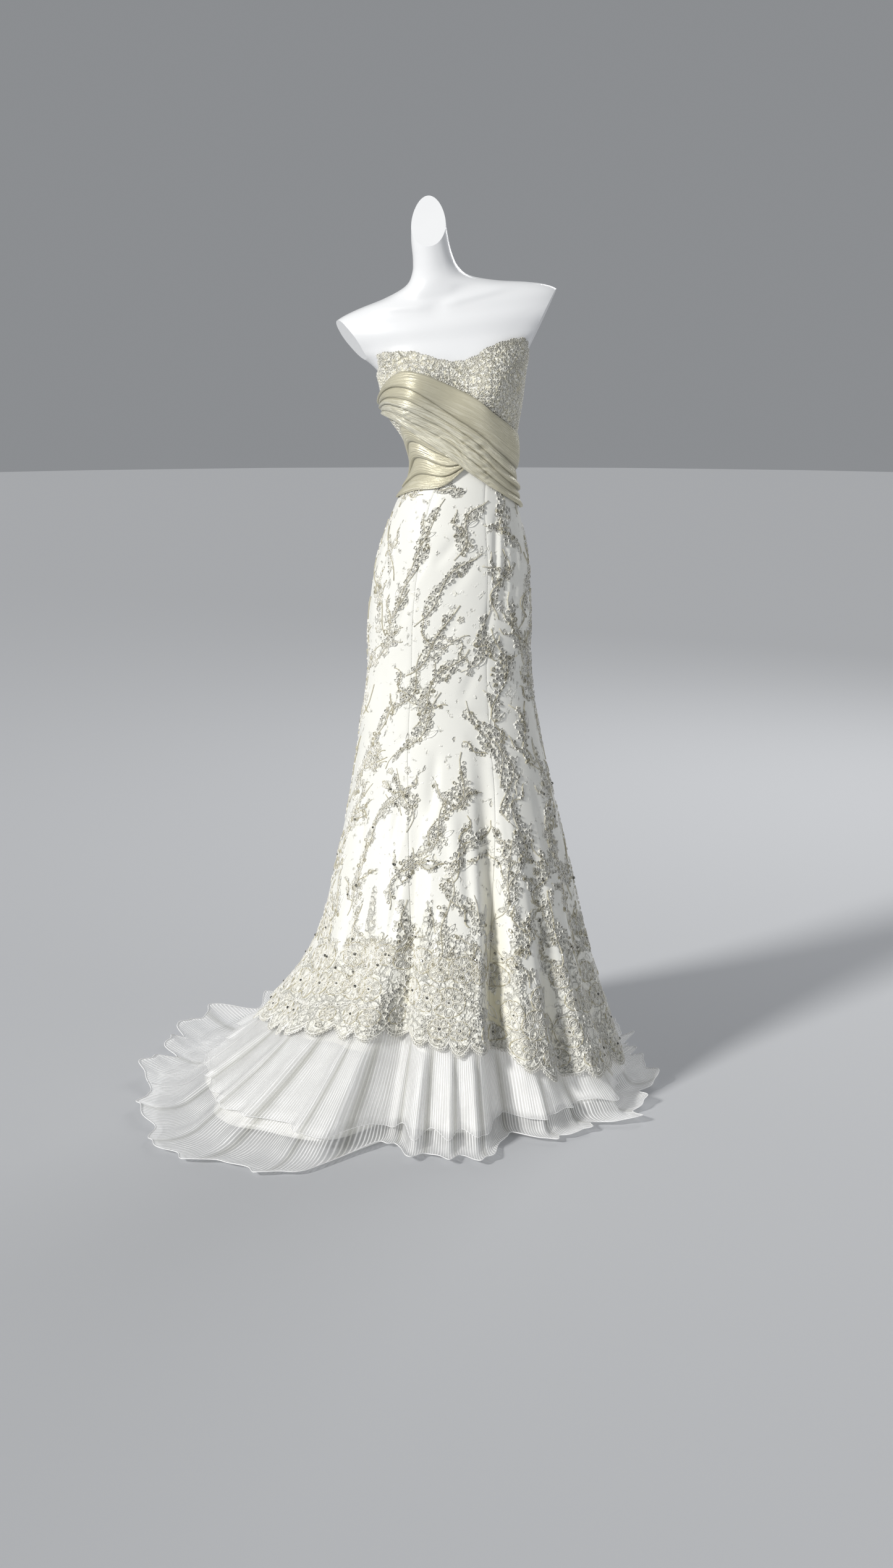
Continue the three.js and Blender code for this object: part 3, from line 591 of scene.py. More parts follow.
@dataclass
class Cordwork:
    """Cords, rings and beads laid on a cloth surface, gathered into one mesh.

    In its methods angle and z are the (n,) middles of n shapes, in degrees and millimetres, and
    tone is the (n,) shade of each, from 0 for dark to 1 for light: a random lightness for most,
    and painted shade for the dark stems and loops that stand for thin shadow lines.
    """

    ground: Surface
    parts: list[tuple[Array, Array, Array]] = field(default_factory=list)
    count: int = 0

    def scales(self, angle: Array, z: Array) -> tuple[Array, Array]:
        """Lengths over the cloth of a degree and of a millimetre of height.

        Args:
            angle: middles.
            z: heights.

        Returns:
            The two lengths, in millimetres.
        """
        here = self.ground(angle, z)
        return (np.linalg.norm(self.ground(angle + 0.2, z) - here, axis=-1) / 0.2,
                np.linalg.norm(self.ground(angle, z + 1) - here, axis=-1))

    def lay(self, angle: Array, z: Array, local: Array, faces: Array, tone: Array) -> None:
        """Lays small shapes on the surface and adds them to the mesh.

        A local point (right, up, out) goes to ground(angle + right / g, z + up / h) + out x
        normal, where g and h are the scales at the shape's middle.

        Args:
            angle: middles.
            z: heights.
            local: (n, k, 3) points in millimetres.
            faces: triangles of one shape.
            tone: shades.
        """
        g, h = self.scales(angle, z)
        a = angle[:, None] + local[..., 0] / g[:, None]
        b = z[:, None] + local[..., 1] / h[:, None]
        base = self.ground(a, b)
        normal = unit(np.cross(self.ground(a + 0.2, b) - base, self.ground(a, b + 1) - base))
        n, k = local.shape[:2]
        shift = self.count + np.arange(n)[:, None, None] * k
        self.parts.append(((base + normal * local[..., 2:]).reshape(-1, 3),
                           (faces + shift).reshape(-1, 3), np.repeat(tone, k)))
        self.count += n * k

    def cords(self, angle: Array, z: Array, paths: Array, closed: bool, radius: float,
              rise: float, tone: Array | None = None) -> None:
        """Lays three-sided cords along paths: the sides at -radius and +radius across the path,
        sunk a little, and the ridge over the path at the rise.

        Args:
            angle: middles.
            z: heights.
            paths: (n, m, 2) points right of and above each middle, in millimetres.
            closed: whether each path is a ring.
            radius: half the cord's width.
            rise: height of the ridge.
            tone: shades, 1 if left out.
        """
        n, m = paths.shape[:2]
        if not n:
            return
        if closed:
            along = np.roll(paths, -1, 1) - np.roll(paths, 1, 1)
        else:
            along = np.gradient(paths, axis=1)
        along = unit(along)
        left = np.stack([-along[..., 1], along[..., 0]], -1) * radius
        local = np.zeros((n, m, 3, 3))
        local[:, :, 0, :2], local[:, :, 1, :2], local[:, :, 2, :2] = paths - left, paths, paths + left
        local[:, :, :, 2] = -0.25, rise, -0.25
        i, j = np.meshgrid(np.arange(m if closed else m - 1), np.arange(3), indexing="ij")
        a, b = i * 3 + j, (i + 1) % m * 3 + j
        c, d = (i + 1) % m * 3 + (j + 1) % 3, i * 3 + (j + 1) % 3
        faces = np.concatenate([np.stack([a, b, c], -1).reshape(-1, 3),
                                np.stack([a, c, d], -1).reshape(-1, 3)])
        if not closed:
            last = 3 * m - 3
            faces = np.concatenate([faces, [(0, 1, 2), (last, last + 2, last + 1)]])
        tone = np.ones(n) if tone is None else tone
        self.lay(angle, z, local.reshape(n, m * 3, 3), faces, tone)

    def rings(self, angle: Array, z: Array, radius: Array, aspect: Array | float,
              turn: Array | float, cord: float, rise: float, sides: int,
              tone: Array | None = None) -> None:
        """Lays rings: radius (cos t, aspect sin t), turned in the cloth by an angle.

        Args:
            angle: middles.
            z: heights.
            radius: radii along the ring's first axis.
            aspect: share of the second axis.
            turn: degrees from right towards up.
            cord: half the cord's width.
            rise: height of the cord.
            sides: points in a ring.
            tone: shades.
        """
        t = np.arange(sides) * TURN / sides
        n = len(angle)
        x = radius[:, None] * np.cos(t)
        y = radius[:, None] * np.broadcast_to(aspect, (n,))[:, None] * np.sin(t)
        path = np.stack(lean(y, x, -np.broadcast_to(turn, (n,))[:, None]), -1)
        self.cords(angle, z, path, True, cord, rise, tone)

    def leaves(self, angle: Array, z: Array, length: Array, width: Array, turn: Array,
               half: int = 6) -> None:
        """Lays pointed leaf outlines: along = length (t - 1/2), across = width sin(pi t)^0.9,
        up one side and down the other, and a rib along the middle.

        Args:
            angle: middles.
            z: heights.
            length: lengths.
            width: half widths.
            turn: degrees from up towards the right.
            half: points on each side of an outline.
        """
        if not len(angle):
            return
        t = np.concatenate([np.arange(half) / half, 1 - np.arange(half) / half])
        side = np.repeat([-1.0, 1.0], half)
        across = side * np.abs(np.sin(np.pi * t)) ** 0.9 * width[:, None]
        path = np.stack(lean((t - 0.5) * length[:, None], across, turn[:, None]), -1)
        self.cords(angle, z, path, True, 0.75, 1.7)
        rib = np.linspace(-0.42, 0.36, 4) * length[:, None]
        self.cords(angle, z, np.stack(lean(rib, 0 * rib, turn[:, None]), -1), False, 0.5, 0.8)

    def beads(self, angle: Array, z: Array, radius: Array, out: float = 0.6) -> None:
        """Lays twenty-faced beads whose middles stand out of the cloth by a share of the radius.

        Args:
            angle: middles.
            z: heights.
            radius: radii.
            out: share of the radius.
        """
        local = ICO[None] * radius[:, None, None]
        local[..., 2] += (out * radius)[:, None]
        self.lay(angle, z, local, ICO_FACES, np.ones(len(angle)))

    def mesh(self, name: str) -> Object:
        """Makes the object of everything laid so far."""
        points, faces, tone = (np.concatenate(part) for part in zip(*self.parts))
        return make_mesh(name, points, faces, tone=tone)


@dataclass(frozen=True)
class Sprays:
    """Slanting sprays of lace: middle, slant from upright, half length and half width, and the
    phase of its uneven outline. Arrays of one length."""

    angle: Array
    z: Array
    slant: Array
    half_length: Array
    half_width: Array
    phase: Array

    def outline(self, i: Array | int, a: Array) -> Array:
        """Half width at a share a from -1 to 1: W (1 - a^2)^0.6 (0.66 + 0.34 sin(5 a + phase))."""
        shape = np.clip(1 - a * a, 0, 1) ** 0.6 * (0.66 + 0.34 * np.sin(5 * a + self.phase[i]))
        return self.half_width[i] * shape

    def bend(self, i: Array | int, a: Array) -> Array:
        """Sideways swing of the middle line: 0.45 W sin(2.6 a + phase)."""
        return 0.45 * self.half_width[i] * np.sin(2.6 * a + self.phase[i])

    def place(self, i: Array, a: Array, off: Array | float = 0.0) -> tuple[Array, Array]:
        """Angle and height at a share of a spray's length, off its middle line to the right."""
        x, y = lean(a * self.half_length[i], self.bend(i, a) + off, self.slant[i])
        return self.angle[i] + x / degree(self.z[i]), self.z[i] + y

    def cover(self, angle: Array, z: Array) -> Array:
        """How much of the cloth the sprays cover, from 0 to 1, at each point.

        Args:
            angle: degrees.
            z: heights.

        Returns:
            The largest of the sprays' shares, each 1 on its middle line and 0 at its outline.
        """
        best = np.zeros(angle.shape)
        g = degree(self.z)
        for i in range(len(self.angle)):
            u, v = wrap(angle - self.angle[i]) * g[i], z - self.z[i]
            near = (np.abs(v) < self.half_length[i] + 25) & (np.abs(u) < self.half_length[i] + 25)
            if not near.any():
                continue
            along, aside = lean(u[near], v[near], self.slant[i])
            a = along / self.half_length[i]
            share = 1 - np.abs(aside - self.bend(i, a)) / (self.outline(i, a) + 0.5)
            best[near] = np.maximum(best[near], np.clip(share, 0, 1))
        return best


@dataclass
class LacePlan:
    """Where the lace of the skirt lies: sprays in staggered rows, closer and larger towards the
    hem, and rosettes above the scallops."""

    seed: int = 11
    # height of the row, pitch round, half length, half width
    rows: tuple = (
        (1164, 74, 40, 15), (1082, 82, 56, 20), (990, 88, 64, 22), (893, 88, 68, 24),
        (798, 90, 68, 24), (704, 92, 68, 24), (612, 94, 66, 24), (526, 94, 64, 25),
        (444, 88, 62, 26), (366, 80, 54, 28), (292, 74, 42, 30),
    )
    # height above the lace hem, shift in pitches, share that is there, radius
    rosette_rows: tuple = ((18, 0.5, 1, 16), (64, 0, 0.85, 23), (116, 0.5, 0.5, 21), (166, 0, 0.25, 17))
    rounds_of_sprigs: int = 3

    def sprays(self) -> Sprays:
        """Lays out the sprays.

        Returns:
            Sprays that lean right going up, nearly upright on the wearer's left hip, with one in
            six leaning the other way, and their sprigs. They are wider on the wearer's left.
        """
        rng = np.random.default_rng(self.seed)
        found = []
        for k, (z, pitch, length, width) in enumerate(self.rows):
            _, _, w, f, b, _ = section(np.array(float(z)))
            n = round(TURN * np.sqrt((w * w + (0.5 * (f + b)) ** 2) / 2) / pitch)
            angle = wrap(360 * (np.arange(n) + 0.5 * (k % 2) + rng.uniform(-0.24, 0.24, n)) / n)
            height = z + rng.uniform(-20, 20, n)
            slant = 31 + rng.uniform(-13, 13, n)
            slant = np.where(np.abs(angle - 56) < 26, rng.uniform(-6, 14, n), slant)
            slant = np.where(rng.random(n) < 0.17, rng.uniform(-34, -12, n), slant)
            slant = np.where(z < 470, slant * 0.6, slant)
            fuller = 1 + 0.25 * np.sin(np.radians(angle))
            found.append(np.stack([angle, height, slant, length * rng.uniform(0.72, 1.2, n),
                                   width * fuller * rng.uniform(0.72, 1.2, n),
                                   rng.uniform(0, 6.3, n)]))
        main = np.concatenate(found, 1)
        sprigs = [self.sprigs(main, rng) for _ in range(self.rounds_of_sprigs)]
        table = np.concatenate([main, *sprigs], 1)
        return Sprays(*table[:, table[1] - table[3] * 0.8 > lace_hem(table[0]) + 24])

    def sprigs(self, main: Array, rng: np.random.Generator) -> Array:
        """Lays out short sprigs that branch off the sprays.

        Each middle lies on its spray's side, (along, across) = (up to 0.75 of the half length,
        0.6 of the half width and 0.45 of the sprig's), turned with the spray.

        Args:
            main: the sprays' columns.
            rng: random numbers.

        Returns:
            Columns of the sprigs, for about two sprays in three.
        """
        angle, z, slant, length, width, _ = main[:, rng.random(main.shape[1]) < 0.66]
        n = len(angle)
        side = rng.choice([-1.0, 1.0], n)
        size = rng.uniform(15, 27, n)
        turn = slant + side * rng.uniform(20, 60, n)
        x, y = lean(rng.uniform(-0.75, 0.75, n) * length, side * (0.6 * width + 0.45 * size), slant)
        return np.stack([wrap(angle + x / degree(z)), z + y, turn, size,
                         size * rng.uniform(0.3, 0.5, n), rng.uniform(0, 6.3, n)])

    def rosettes(self) -> tuple[Array, Array, Array]:
        """Middles and radii of the round flowers above the scallops, in four rows.

        Returns:
            Angles, heights and radii.
        """
        rng = np.random.default_rng(self.seed + 1)
        rows = []
        for up, shift, share, radius in self.rosette_rows:
            jitter = rng.uniform(-0.12, 0.12, SCALLOPS)
            angle = 360 / SCALLOPS * (np.arange(SCALLOPS) + shift + jitter)
            z = hem(angle)[1] + up + rng.uniform(-7, 7, SCALLOPS) * (up > 30)
            size = radius * rng.uniform(0.8, 1.15, SCALLOPS)
            rows.append(np.stack([wrap(angle), z, size])[:, rng.random(SCALLOPS) < share])
        return tuple(np.concatenate(rows, 1))


# Finishes

def dim(colour: Colour, share: float) -> Colour:
    """A share of a colour's strength."""
    return tuple(share * v for v in colour)


class Graph:
    """Adds nodes to one node tree and joins them."""

    def __init__(self, tree: bpy.types.NodeTree) -> None:
        """Keeps the tree."""
        self.tree = tree

    def add(self, kind: str, ins: dict | None = None, **settings: object) -> bpy.types.Node:
        """Adds a node.

        Args:
            kind: node type, without its ShaderNode prefix.
            ins: sockets to join, or values to set, by input name or number.
            settings: the node's own properties.

        Returns:
            The node.
        """
        node = self.tree.nodes.new("ShaderNode" + kind)
        for key, value in settings.items():
            setattr(node, key, value)
        for key, value in (ins or {}).items():
            if isinstance(value, Socket):
                self.tree.links.new(value, node.inputs[key])
            else:
                node.inputs[key].default_value = value
        return node

    def math(self, operation: str, *values: object, clamp: bool = False) -> Socket:
        """A sum of two or three values, by the name of the operation."""
        return self.add("Math", dict(enumerate(values)), operation=operation,
                        use_clamp=clamp).outputs[0]

    def times(self, *values: object) -> Socket:
        """The product of two values."""
        return self.math("MULTIPLY", *values)

    def plus(self, *values: object) -> Socket:
        """The sum of two values."""
        return self.math("ADD", *values)

    def line(self, value: object, factor: object, base: object) -> Socket:
        """The value times the factor, and the base added."""
        return self.math("MULTIPLY_ADD", value, factor, base)

    def blend(self, share: object, a: Socket | Colour, b: Socket | Colour) -> Socket:
        """The colour a share of the way from a to b."""
        a, b = (v if isinstance(v, Socket) else (*v, 1) for v in (a, b))
        return self.add("Mix", {0: share, 6: a, 7: b}, data_type="RGBA").outputs[2]

    def step(self, value: object, low: float, high: float) -> Socket:
        """A soft step from 0 at low to 1 at high."""
        node = self.add("MapRange", {0: value, 1: low, 2: high}, interpolation_type="SMOOTHSTEP")
        return node.outputs[0]

    def where(self) -> Socket:
        """Object coordinates, in metres."""
        return self.add("TexCoord").outputs["Object"]

    def stretched(self, at: Socket, scale: tuple[float, float, float]) -> Socket:
        """Coordinates scaled along each axis."""
        return self.add("Mapping", {"Vector": at, "Scale": scale}).outputs[0]

    def noise(self, at: object, scale: object, detail: float = 2.0) -> Socket:
        """A noise from 0 to 1."""
        return self.add("TexNoise", {"Vector": at, "Scale": scale, "Detail": detail}).outputs[0]

    def attribute(self, name: str) -> Socket:
        """A number kept in the mesh."""
        return self.add("Attribute", attribute_name=name).outputs["Fac"]

    def weave(self, **ins: object) -> bpy.types.NodeOutputs:
        """Outputs of the group of fine cloth texture, with its inputs by name."""
        return self.add("Group", ins, node_tree=threads()).outputs

    def shade(self, height: Socket, strength: float, distance: float, **sockets: Socket) -> None:
        """Joins a bump and further sockets to the Principled shader.

        Args:
            height: height of the bump.
            strength: its strength.
            distance: its size in metres.
            sockets: sockets by input name, with _ for a space.
        """
        shader = self.tree.nodes["Principled BSDF"]
        bump = self.add("Bump", {"Height": height, "Strength": strength, "Distance": distance})
        for key, value in {"Normal": bump.outputs[0], **sockets}.items():
            self.tree.links.new(value, shader.inputs[key.replace("_", " ")])


def new_material(name: str, **constants: object) -> tuple[Material, Graph]:
    """Makes a material with one Principled shader.

    Args:
        name: the material's name.
        constants: values for the shader's own sockets, with _ for a space.

    Returns:
        The material and its graph.
    """
    material = bpy.data.materials.new(name)
    material.use_nodes = True
    shader = material.node_tree.nodes["Principled BSDF"]
    for key, value in constants.items():
        shader.inputs[key.replace("_", " ")].default_value = value
    return material, Graph(material.node_tree)


def new_group(name: str, ins: dict[str, float | tuple], outs: Sequence[str]) -> tuple:
    """Makes a shader node group.

    Args:
        name: the group's name.
        ins: inputs and their defaults. Three numbers make a vector.
        outs: outputs, each a number.

    Returns:
        The group, its graph, its given sockets and its result sockets.
    """
    tree = bpy.data.node_groups.new(name, "ShaderNodeTree")
    for key, value in ins.items():
        kind = "NodeSocketVector" if isinstance(value, tuple) else "NodeSocketFloat"
        tree.interface.new_socket(key, in_out="INPUT", socket_type=kind).default_value = value
    for key in outs:
        tree.interface.new_socket(key, in_out="OUTPUT", socket_type="NodeSocketFloat")
    given, result = tree.nodes.new("NodeGroupInput"), tree.nodes.new("NodeGroupOutput")
    return tree, Graph(tree), given.outputs, result.inputs


@cache
def bead_loops() -> bpy.types.NodeTree:
    """The group of small beaded loops: rings round the middles of random cells, with a dark middle
    and dark gaps, which the lace's material paints partly in the net's colour and partly as painted
    shade, and the wandering outlines of petals some five loops wide. It gives a Height, a Thread
    mask and an Outline mask.

    Returns:
        The group.
    """
    tree, g, ins, outs = new_group(
        "BeadLoops", {"Coord": (0.0, 0.0, 0.0), "Scale": 170.0, "Petals": 58.0},
        ("Height", "Thread", "Outline"))
    drift = g.add("TexNoise", {"Vector": ins["Coord"], "Scale": 55.0, "Detail": 2.0}).outputs[1]
    bent = g.add("VectorMath", {0: drift, 1: (0.022, 0.022, 0.022), 2: ins["Coord"]},
                 operation="MULTIPLY_ADD").outputs[0]
    border = g.add("TexVoronoi", {"Vector": bent, "Scale": ins["Petals"]},
                   feature="DISTANCE_TO_EDGE").outputs["Distance"]
    cells = g.add("TexVoronoi", {"Vector": ins["Coord"], "Scale": ins["Scale"]}).outputs[0]
    away = g.math("ABSOLUTE", g.math("SUBTRACT", cells, 0.38))
    ring = g.math("SUBTRACT", 1.0, g.times(away, 3.2), clamp=True)
    g.tree.links.new(ring, outs["Height"])
    g.tree.links.new(g.step(ring, 0.02, 0.4), outs["Thread"])
    g.tree.links.new(g.math("SUBTRACT", 1.0, g.step(border, 0.03, 0.12)), outs["Outline"])
    return tree


@cache
def threads() -> bpy.types.NodeTree:
    """The group of fine cloth texture: a fine grain and a slow mottle. It gives a Height and a
    Mottle from 0 to 1.

    Returns:
        The group.
    """
    tree, g, ins, outs = new_group(
        "Threads", {"Coord": (0.0, 0.0, 0.0), "Scale": 900.0, "Patch": 9.0}, ("Height", "Mottle"))
    g.tree.links.new(g.noise(ins["Coord"], ins["Scale"], 1.0), outs["Height"])
    slow = g.noise(ins["Coord"], ins["Patch"], 3.0)
    g.tree.links.new(g.step(slow, 0.3, 0.7), outs["Mottle"])
    return tree


@dataclass(frozen=True)
class LaceSatin:
    """Satin under beaded lace, which shows where the mesh's lace number says: loops of thread
    over gaps whose colour is partly the net's own and partly painted shade between the loops, and
    the dark outlines of petals, painted shade along their sunk lines. The satin is painted
    olive in the flutes' valleys, as painted shade."""

    name: str
    satin: Colour
    thread: Colour
    gap: Colour
    loops_to_metre: float
    fill: float = 0.0
    # colour of the painted shade in the flutes' valleys
    valley_shade: Colour = (0.80, 0.76, 0.58)

    def make(self) -> Material:
        """Makes the material: satin, then gap and thread where the cover and loops say.

        Returns:
            The material.
        """
        material, g = new_material(self.name, Sheen_Weight=0.15, Sheen_Roughness=0.4,
                                   Specular_IOR_Level=0.4)
        at = g.where()
        loops = g.add("Group", {"Coord": at, "Scale": self.loops_to_metre},
                      node_tree=bead_loops()).outputs
        weave = g.weave(Coord=at)
        ragged = g.times(g.math("SUBTRACT", g.noise(at, 70.0), 0.5), 1.1)
        cover = g.plus(g.plus(g.attribute("lace"), self.fill), ragged)
        cover = g.step(cover, 0.1, 0.3)
        satin = g.blend(weave["Mottle"], self.satin, dim(self.satin, 0.965))
        # painted shade: the satin darkens towards olive by how deep in a flute it lies
        satin = g.blend(g.attribute("valley_shade"), satin, self.valley_shade)
        up = g.add("SeparateXYZ", {0: at}).outputs[2]
        # the gap colour between the loops is partly the net's own colour and partly painted shade; it is
        # paler low down
        pale = tuple(mix(np.array(self.gap), np.array(self.satin), 0.15))
        gap = g.blend(g.step(up, 0.2, 0.55), pale, self.gap)
        colour = g.blend(g.times(g.math("SUBTRACT", 1.0, loops["Thread"]), cover), satin, gap)
        colour = g.blend(g.times(loops["Thread"], cover), colour, self.thread)
        # painted shade: dark lines along the petals' sunk outlines
        line = g.times(loops["Outline"], cover)
        colour = g.blend(g.times(line, 0.6), colour, dim(self.gap, 0.5))
        raised = g.math("SUBTRACT", loops["Height"], loops["Outline"])
        height = g.plus(g.times(raised, cover), g.times(weave["Height"], 0.05))
        g.shade(height, 1.0, 0.002, Base_Color=colour, Roughness=g.line(cover, 0.3, 0.36))
        return material


@dataclass(frozen=True)
class Thread:
    """Twisted thread of the raised cords: its shade follows each cord's own tone, a random
    lightness for most and painted shade for the dark stems and loops.
    """

    name: str
    light: Colour
    shade: Colour
    roughness: float

    def make(self) -> Material:
        """Makes the material, whose roughness wavers by 0.15 either way.

        Returns:
            The material.
        """
        material, g = new_material(self.name, Sheen_Weight=0.2, Specular_IOR_Level=0.5)
        weave = g.weave(Coord=g.where(), Scale=2600.0, Patch=60.0)
        # each cord's number: a random lightness, and painted shade for the dark stems and loops
        colour = g.blend(g.attribute("tone"), self.shade, self.light)
        colour = g.blend(g.times(weave["Mottle"], 0.25), colour, self.shade)
        rough = g.line(weave["Height"], 0.3, self.roughness - 0.15)
        g.shade(weave["Height"], 0.5, 0.0004, Base_Color=colour, Roughness=rough)
        return material


@dataclass(frozen=True)
class Satin:
    """Plain satin with a fine weave. The sash's is crushed too: slubs along its own length, a pale
    stretch of painted sheen crossed by fine lines of painted shade, painted shade in the crevices
    at the fold lines, and a lustre of its own colour."""

    name: str
    light: Colour
    shade: Colour
    roughness: float
    slub: float = 0.0
    lustre: float = 0.0
    # colour of the painted sheen on the pale crushed stretch
    painted_sheen: Colour = (1.0, 0.97, 0.81)

    def crushed(self, g: Graph, colour: Socket, height: Socket) -> tuple[Socket, Socket]:
        """Adds the slubs, the pale stretch of painted sheen with fine lines of painted shade, and the
        painted shade at the fold lines.

        Args:
            g: the graph.
            colour: colour of the plain satin.
            height: its height.

        Returns:
            Colour and height of the crushed satin.
        """
        uv = g.stretched(g.add("UVMap").outputs[0], (1.1, 9.0, 1.0))
        crush, fine, pale = g.noise(uv, 1.6, 4.0), g.noise(uv, 2.6, 3.0), g.attribute("pale")
        height = g.plus(g.times(height, 0.12), g.times(crush, self.slub))
        height = g.line(g.times(fine, pale), 2.6, height)
        colour = g.blend(g.step(crush, 0.42, 0.6), self.shade, colour)
        # painted sheen where the pale number says, crossed by fine lines of painted shade
        painted_sheen = g.blend(g.step(fine, 0.38, 0.52), self.shade, self.painted_sheen)
        colour = g.blend(pale, colour, painted_sheen)
        # painted shade in the crevices along the fold lines, where the band's crevice number says
        return g.blend(g.attribute("valley_shade"), colour, dim(self.shade, 0.42)), height

    def make(self) -> Material:
        """Makes the material, whose roughness wavers by 0.05 either way.

        Returns:
            The material.
        """
        material, g = new_material(self.name, Sheen_Weight=0.3, Sheen_Roughness=0.35,
                                   Specular_IOR_Level=0.75, Anisotropic=0.35,
                                   Metallic=self.lustre)
        weave = g.weave(Coord=g.where(), Scale=1500.0, Patch=16.0)
        colour, height = g.blend(weave["Mottle"], self.light, self.shade), weave["Height"]
        rough = g.line(weave["Mottle"], 0.1, self.roughness - 0.05)
        strength, distance = (0.6, 0.002) if self.slub else (0.3, 0.0004)
        if self.slub:
            colour, height = self.crushed(g, colour, height)
        g.shade(height, strength, distance, Base_Color=colour, Roughness=rough)
        return material


@dataclass(frozen=True)
class Organza:
    """Sheer organza in fine crimped pleats that follow the cloth's own UV: a rib at each whole
    number of U, wandering a little, with an opacity on the ribs and a clearer one between."""

    name: str
    colour: Colour
    clear: float
    rib: float
    fold_shadow: Colour = (0.50, 0.50, 0.46)

    def make(self) -> Material:
        """Makes the material. Its slight emission stands in for light that sheer cloth lets
        through.

        Returns:
            The material.
        """
        material, g = new_material(self.name, Roughness=0.45, Sheen_Weight=0.8,
                                   Sheen_Roughness=0.4, Specular_IOR_Level=0.5,
                                   Emission_Color=(1, 1, 0.98, 1), Emission_Strength=0.12)
        uv = g.add("UVMap").outputs[0]
        pleat = g.add("SeparateXYZ", {0: uv}).outputs[0]
        wander = g.times(g.noise(g.stretched(uv, (0.11, 6.0, 1.0)), 1.0), 2.2)
        place = g.math("FRACT", g.plus(pleat, wander))
        ribs = g.step(g.math("ABSOLUTE", g.line(place, 2.0, -1.0)), 0.35, 1.0)
        patch = g.step(g.noise(g.where(), 22.0, 3.0), 0.3, 0.7)
        weight = g.times(ribs, g.line(patch, 0.5, 0.5))
        alpha = g.line(weight, self.rib - self.clear, self.clear)
        tint = g.blend(weight, dim(self.colour, 0.9), self.colour)
        tint = g.blend(g.attribute("valley_shade"), tint, self.fold_shadow)
        g.shade(ribs, 0.5, 0.0012, Alpha=alpha, Base_Color=tint)
        return material


@dataclass(frozen=True)
class Enamel:
    """Gloss white shell of the form: slight orange peel and slightly uneven gloss."""

    name: str = "form_gloss_white"

    def make(self) -> Material:
        """Makes the material.

        Returns:
            The material.
        """
        material, g = new_material(self.name, Coat_Roughness=0.08, Specular_IOR_Level=0.5)
        at = g.where()
        patch = g.noise(at, 7.0, 3.0)
        colour = g.blend(patch, (0.86, 0.87, 0.885), (0.92, 0.925, 0.935))
        g.shade(g.noise(at, 240.0, 1.0), 0.04, 0.0006, Base_Color=colour,
                Roughness=g.line(patch, 0.12, 0.24), Coat_Weight=g.line(patch, 0.15, 0.3))
        return material


@dataclass(frozen=True)
class Steel:
    """Brushed steel with fine rings round the upright axis and faint handling marks."""

    name: str = "stand_brushed_steel"

    def make(self) -> Material:
        """Makes the material.

        Returns:
            The material.
        """
        material, g = new_material(self.name, Anisotropic=0.5)
        at = g.where()
        grain, marks = g.noise(g.stretched(at, (1.0, 1.0, 18.0)), 160.0, 4.0), g.noise(at, 14.0, 3.0)
        colour = g.blend(grain, (0.5, 0.51, 0.52), (0.66, 0.67, 0.68))
        rough = g.plus(g.line(grain, 0.15, 0.22), g.times(g.step(marks, 0.55, 0.75), 0.12))
        g.shade(grain, 0.15, 0.0003, Base_Color=colour, Roughness=rough,
                Metallic=g.line(marks, -0.06, 1.0))
        return material


@dataclass(frozen=True)
class Crystal:
    """Smoky faceted stones: dark, glossy, lighter on some facets."""

    name: str = "crystal_smoke"

    def make(self) -> Material:
        """Makes the material.

        Returns:
            The material.
        """
        material, g = new_material(self.name, Coat_Roughness=0.05, Specular_IOR_Level=0.8)
        facet = g.noise(g.where(), 420.0, 0.0)
        colour = g.blend(g.step(facet, 0.4, 0.62), (0.03, 0.03, 0.028), (0.26, 0.25, 0.21))
        g.shade(facet, 0.2, 0.0003, Base_Color=colour, Roughness=g.line(facet, 0.15, 0.05))
        return material


FINISHES = (
    LaceSatin("lace_over_satin", (0.91, 0.905, 0.85), (0.93, 0.92, 0.85), (0.86, 0.845, 0.75), 130.0),
    LaceSatin("bodice_lace_ground", (0.93, 0.91, 0.80), (1.0, 0.99, 0.92), (0.84, 0.81, 0.67),
              170.0, 0.6),
    Thread("lace_cord", (1.0, 0.995, 0.96), (0.56, 0.52, 0.38), 0.45),
    Thread("bodice_cord", (1.0, 0.99, 0.94), (0.84, 0.80, 0.64), 0.42),
    Satin("sash_satin", (0.87, 0.83, 0.66), (0.66, 0.62, 0.46), 0.31, 2.2, 0.28),
    Satin("lining_satin", (0.91, 0.90, 0.86), (0.87, 0.86, 0.81), 0.36),
    Satin("button_satin", (0.88, 0.85, 0.74), (0.84, 0.80, 0.68), 0.4),
    Organza("organza_pleated", (0.98, 0.98, 0.975), 0.36, 0.95),
    Organza("organza_inner_face", (0.98, 0.98, 0.97), 0.08, 0.3),
    Thread("flounce_edge_thread", (0.94, 0.94, 0.94), (0.86, 0.86, 0.85), 0.5),
    Enamel(), Steel(), Crystal(),
)


# The gown

# stretches between the side seams and the centre back: name, first and last angle
THIRDS = (("front", -SIDE_SEAM, SIDE_SEAM), ("back_right", SIDE_SEAM, 180.0),
          ("back_left", -180.0, -SIDE_SEAM))


def seam_angle(hip: float, low: float, z: Array, side: float) -> Array:
    """Angle of a skirt seam at a height, half a seam's gap to the side of the piece."""
    return mix(low, hip, smooth((z - FLARE_FOOT) / FLARE_HEIGHT)) + side * half_gap(section(z)[2])


def edged(count: int) -> Array:
    """Shares from 0 to 1, evenly but for four closer ones beside each end."""
    near = np.array([0.0, 0.006, 0.016, 0.034])
    return np.concatenate([near, np.linspace(0.06, 0.94, count), 1 - near[::-1]])


def seam_dip(part: Array, width: Array, deep: float, half: float) -> Array:
    """Puckered hollow beside both side seams: deep x exp(-(distance / half)^2)."""
    left, right = part * width / half, (1 - part) * width / half
    return deep * (np.exp(-left * left) + np.exp(-right * right))


